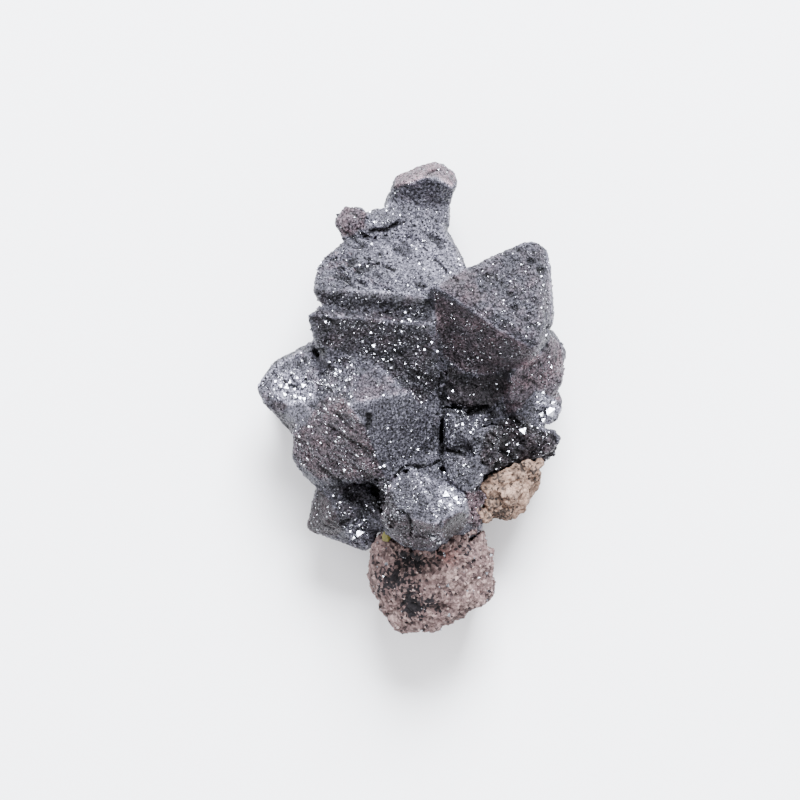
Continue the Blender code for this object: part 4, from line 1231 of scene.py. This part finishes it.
class SPECIMEN_OT_glints(bpy.types.Operator):
    """The plates that flash white, because a face of theirs mirrors the key light"""

    bl_idname = "specimen.glints"
    bl_label = "Glints"

    def execute(self, context):
        sizes = context.scene.specimen_druse
        crystals = bpy.data.objects["hematite_crystals"]
        middles, normals, areas = face_data(crystals.data)
        density = areas * glint_density(middles / MM, normals)
        chance = random.Random(21)
        transforms = []
        for at in chance.choices(range(len(density)), weights=density.tolist(), k=sizes.glint_count):
            radius = sizes.glint_radius * (0.22 + 0.78 * chance.random() ** 4)
            lean = Vector([chance.gauss(0, GLINT_SPREAD) for axis in range(3)])
            transforms.append(plate_matrix(middles[at], radius, (FLASH + lean).normalized(), chance))
        surface = front_surface(crystals.data.vertices, [face.vertices for face in crystals.data.polygons])
        for x, y, radius in BIG_PLATES:
            place = surface(x, y)[0]
            if place is not None:
                transforms.append(plate_matrix(place * MM, radius * MM, FLASH, chance))
        glints = joined_copies("glint_plates", octahedron(), transforms)
        finished(glints, bpy.data.materials["fresh hematite"])
        return {"FINISHED"}


class SPECIMEN_OT_pink_rock(bpy.types.Operator):
    """The pink volcanic rock under the lower crystals, with its grains"""

    bl_idname = "specimen.pink_rock"
    bl_label = "Pink rock"

    def execute(self, context):
        sizes, colours = context.scene.specimen_rock, context.scene.specimen_colours
        shape = merged_copy("pink_matrix")
        add_lumps(shape, PINK_CRUMBS, seed=6)
        rock = piece_of("pink_rock", shape)
        mesh_evenly(rock, sizes.grid)
        push_out(rock, rock_relief(rock, sizes.pink_grain, PINK_RELIEF))
        drop_scraps(rock)
        paint(rock, lambda *where: patch_values(*where, ROCK_PATCHES), PINK_SIDES, ROCK_MOTTLE)
        finished(rock, rock_material("pink rhyolite", colours.pink_rock, colours.feldspar,
                                     colours.pink_dark, colours.rust, sizes.pink_grain),
                 "pink_matrix")
        pale = sprinkled("feldspar_grains", rock, angular_grain(), sizes.loose_grains,
                         PALE_GRAINS, even_density, seed=14, sunk=0.5)
        finished(pale, grain_material("feldspar", colours.feldspar, 0.6))
        dark = sprinkled("hematite_grains", rock, octahedron(), sizes.loose_grains // 2,
                         DARK_GRAINS, even_density, seed=15, sunk=0.3)
        finished(dark, bpy.data.materials["fresh hematite"])
        return {"FINISHED"}


class SPECIMEN_OT_tan_rock(bpy.types.Operator):
    """The tan crust of volcanic rock at the lower right"""

    bl_idname = "specimen.tan_rock"
    bl_label = "Tan rock"

    def execute(self, context):
        sizes, colours = context.scene.specimen_rock, context.scene.specimen_colours
        shape = merged_copy("tan_matrix")
        add_lumps(shape, TAN_CRUMBS, seed=7)
        rock = piece_of("tan_rock", shape)
        mesh_evenly(rock, sizes.grid)
        push_out(rock, rock_relief(rock, sizes.tan_grain, TAN_RELIEF))
        paint(rock, lambda *where: patch_values(*where, TAN_PATCHES), TAN_SIDES, ROCK_MOTTLE)
        finished(rock, rock_material("tan rhyolite", colours.tan_rock, colours.tan_pale,
                                     colours.tan_dark, colours.rust, sizes.tan_grain),
                 "tan_matrix")
        return {"FINISHED"}


class SPECIMEN_OT_olive_grain(bpy.types.Operator):
    """The single olive-green grain beside the pink rock"""

    bl_idname = "specimen.olive_grain"
    bl_label = "Olive grain"

    def execute(self, context):
        place = top_of(["hematite_crystals", "pink_rock"], OLIVE_PLACE)
        shape = angular_grain()
        bmesh.ops.scale(shape, verts=shape.verts, vec=Vector(OLIVE_SIZE) * MM)
        bmesh.ops.translate(shape, verts=shape.verts, vec=place)
        grain = piece_of("olive_grain", shape)
        finished(grain, grain_material("olive epidote", context.scene.specimen_colours.olive, 0.45))
        return {"FINISHED"}


class SPECIMEN_OT_stage(bpy.types.Operator):
    """A pale floor, soft studio light and the camera straight above"""

    bl_idname = "specimen.stage"
    bl_label = "Stage"

    def execute(self, context):
        stage, colours = context.scene.specimen_stage, context.scene.specimen_colours
        shape = bmesh.new()
        bmesh.ops.create_grid(shape, x_segments=1, y_segments=1, size=FLOOR_REACH)
        floor = piece_of("floor", shape)
        floor.data.materials.append(paper_material(colours.floor))

        world = bpy.data.worlds.new("studio")
        world.use_nodes = True
        sky = world.node_tree.nodes["Background"]
        sky.inputs["Color"].default_value = linear(colours.sky)
        sky.inputs["Strength"].default_value = stage.sky_strength
        context.scene.world = world

        add_area_light("key", KEY_PLACE, stage.key_size, stage.key_power, colours.key)
        add_area_light("fill", FILL_PLACE, stage.fill_size, stage.fill_power, colours.fill)

        camera = bpy.data.cameras.new("camera")
        camera.sensor_width = 36.0
        camera.lens = camera.sensor_width * (stage.camera_height - VIEW_PLANE * MM) / (VIEW_WIDTH * MM)
        camera.clip_start, camera.clip_end = 0.05, 10.0
        holder = in_scene("camera", camera)
        holder.location = (VIEW_CENTRE[0] * MM, VIEW_CENTRE[1] * MM, stage.camera_height)
        context.scene.camera = holder
        return {"FINISHED"}


def add_area_light(name, place, size, power, colour):
    """A square soft light that points at the specimen."""
    light = bpy.data.lights.new(name, "AREA")
    light.energy, light.size, light.color = power, size, linear(colour)[:3]
    holder = in_scene(name, light)
    holder.location = place
    holder.rotation_euler = (-Vector(place)).to_track_quat("-Z", "Y").to_euler()


class SPECIMEN_PT_panel(bpy.types.Panel):
    """Lists the specimen's pieces"""

    bl_idname = "SPECIMEN_PT_panel"
    bl_label = "Hematite pseudomorph"
    bl_space_type = "VIEW_3D"
    bl_region_type = "UI"
    bl_category = "Specimen"

    def draw(self, context):
        for operator in OPERATORS:
            self.layout.operator(operator.bl_idname)


SETTINGS = {
    "specimen_crystals": CrystalSettings,
    "specimen_druse": DruseSettings,
    "specimen_rock": RockSettings,
    "specimen_colours": ColourSettings,
    "specimen_stage": StageSettings,
}

OPERATORS = [
    SPECIMEN_OT_crystals,
    SPECIMEN_OT_druse,
    SPECIMEN_OT_glints,
    SPECIMEN_OT_pink_rock,
    SPECIMEN_OT_tan_rock,
    SPECIMEN_OT_olive_grain,
    SPECIMEN_OT_stage,
]


def register():
    """Adds the settings, the operators and the panel."""
    for name, group in SETTINGS.items():
        bpy.utils.register_class(group)
        setattr(bpy.types.Scene, name, bpy.props.PointerProperty(type=group))
    for operator in OPERATORS:
        bpy.utils.register_class(operator)
    bpy.utils.register_class(SPECIMEN_PT_panel)


def unregister():
    """Takes the panel, the operators and the settings away again."""
    bpy.utils.unregister_class(SPECIMEN_PT_panel)
    for operator in reversed(OPERATORS):
        bpy.utils.unregister_class(operator)
    for name, group in SETTINGS.items():
        delattr(bpy.types.Scene, name)
        bpy.utils.unregister_class(group)


def main():
    """Builds every piece and the stage."""
    register()
    bpy.ops.specimen.crystals()
    bpy.ops.specimen.druse()
    bpy.ops.specimen.glints()
    bpy.ops.specimen.pink_rock()
    bpy.ops.specimen.tan_rock()
    bpy.ops.specimen.olive_grain()
    bpy.ops.specimen.stage()


if __name__ == "__main__":
    main()
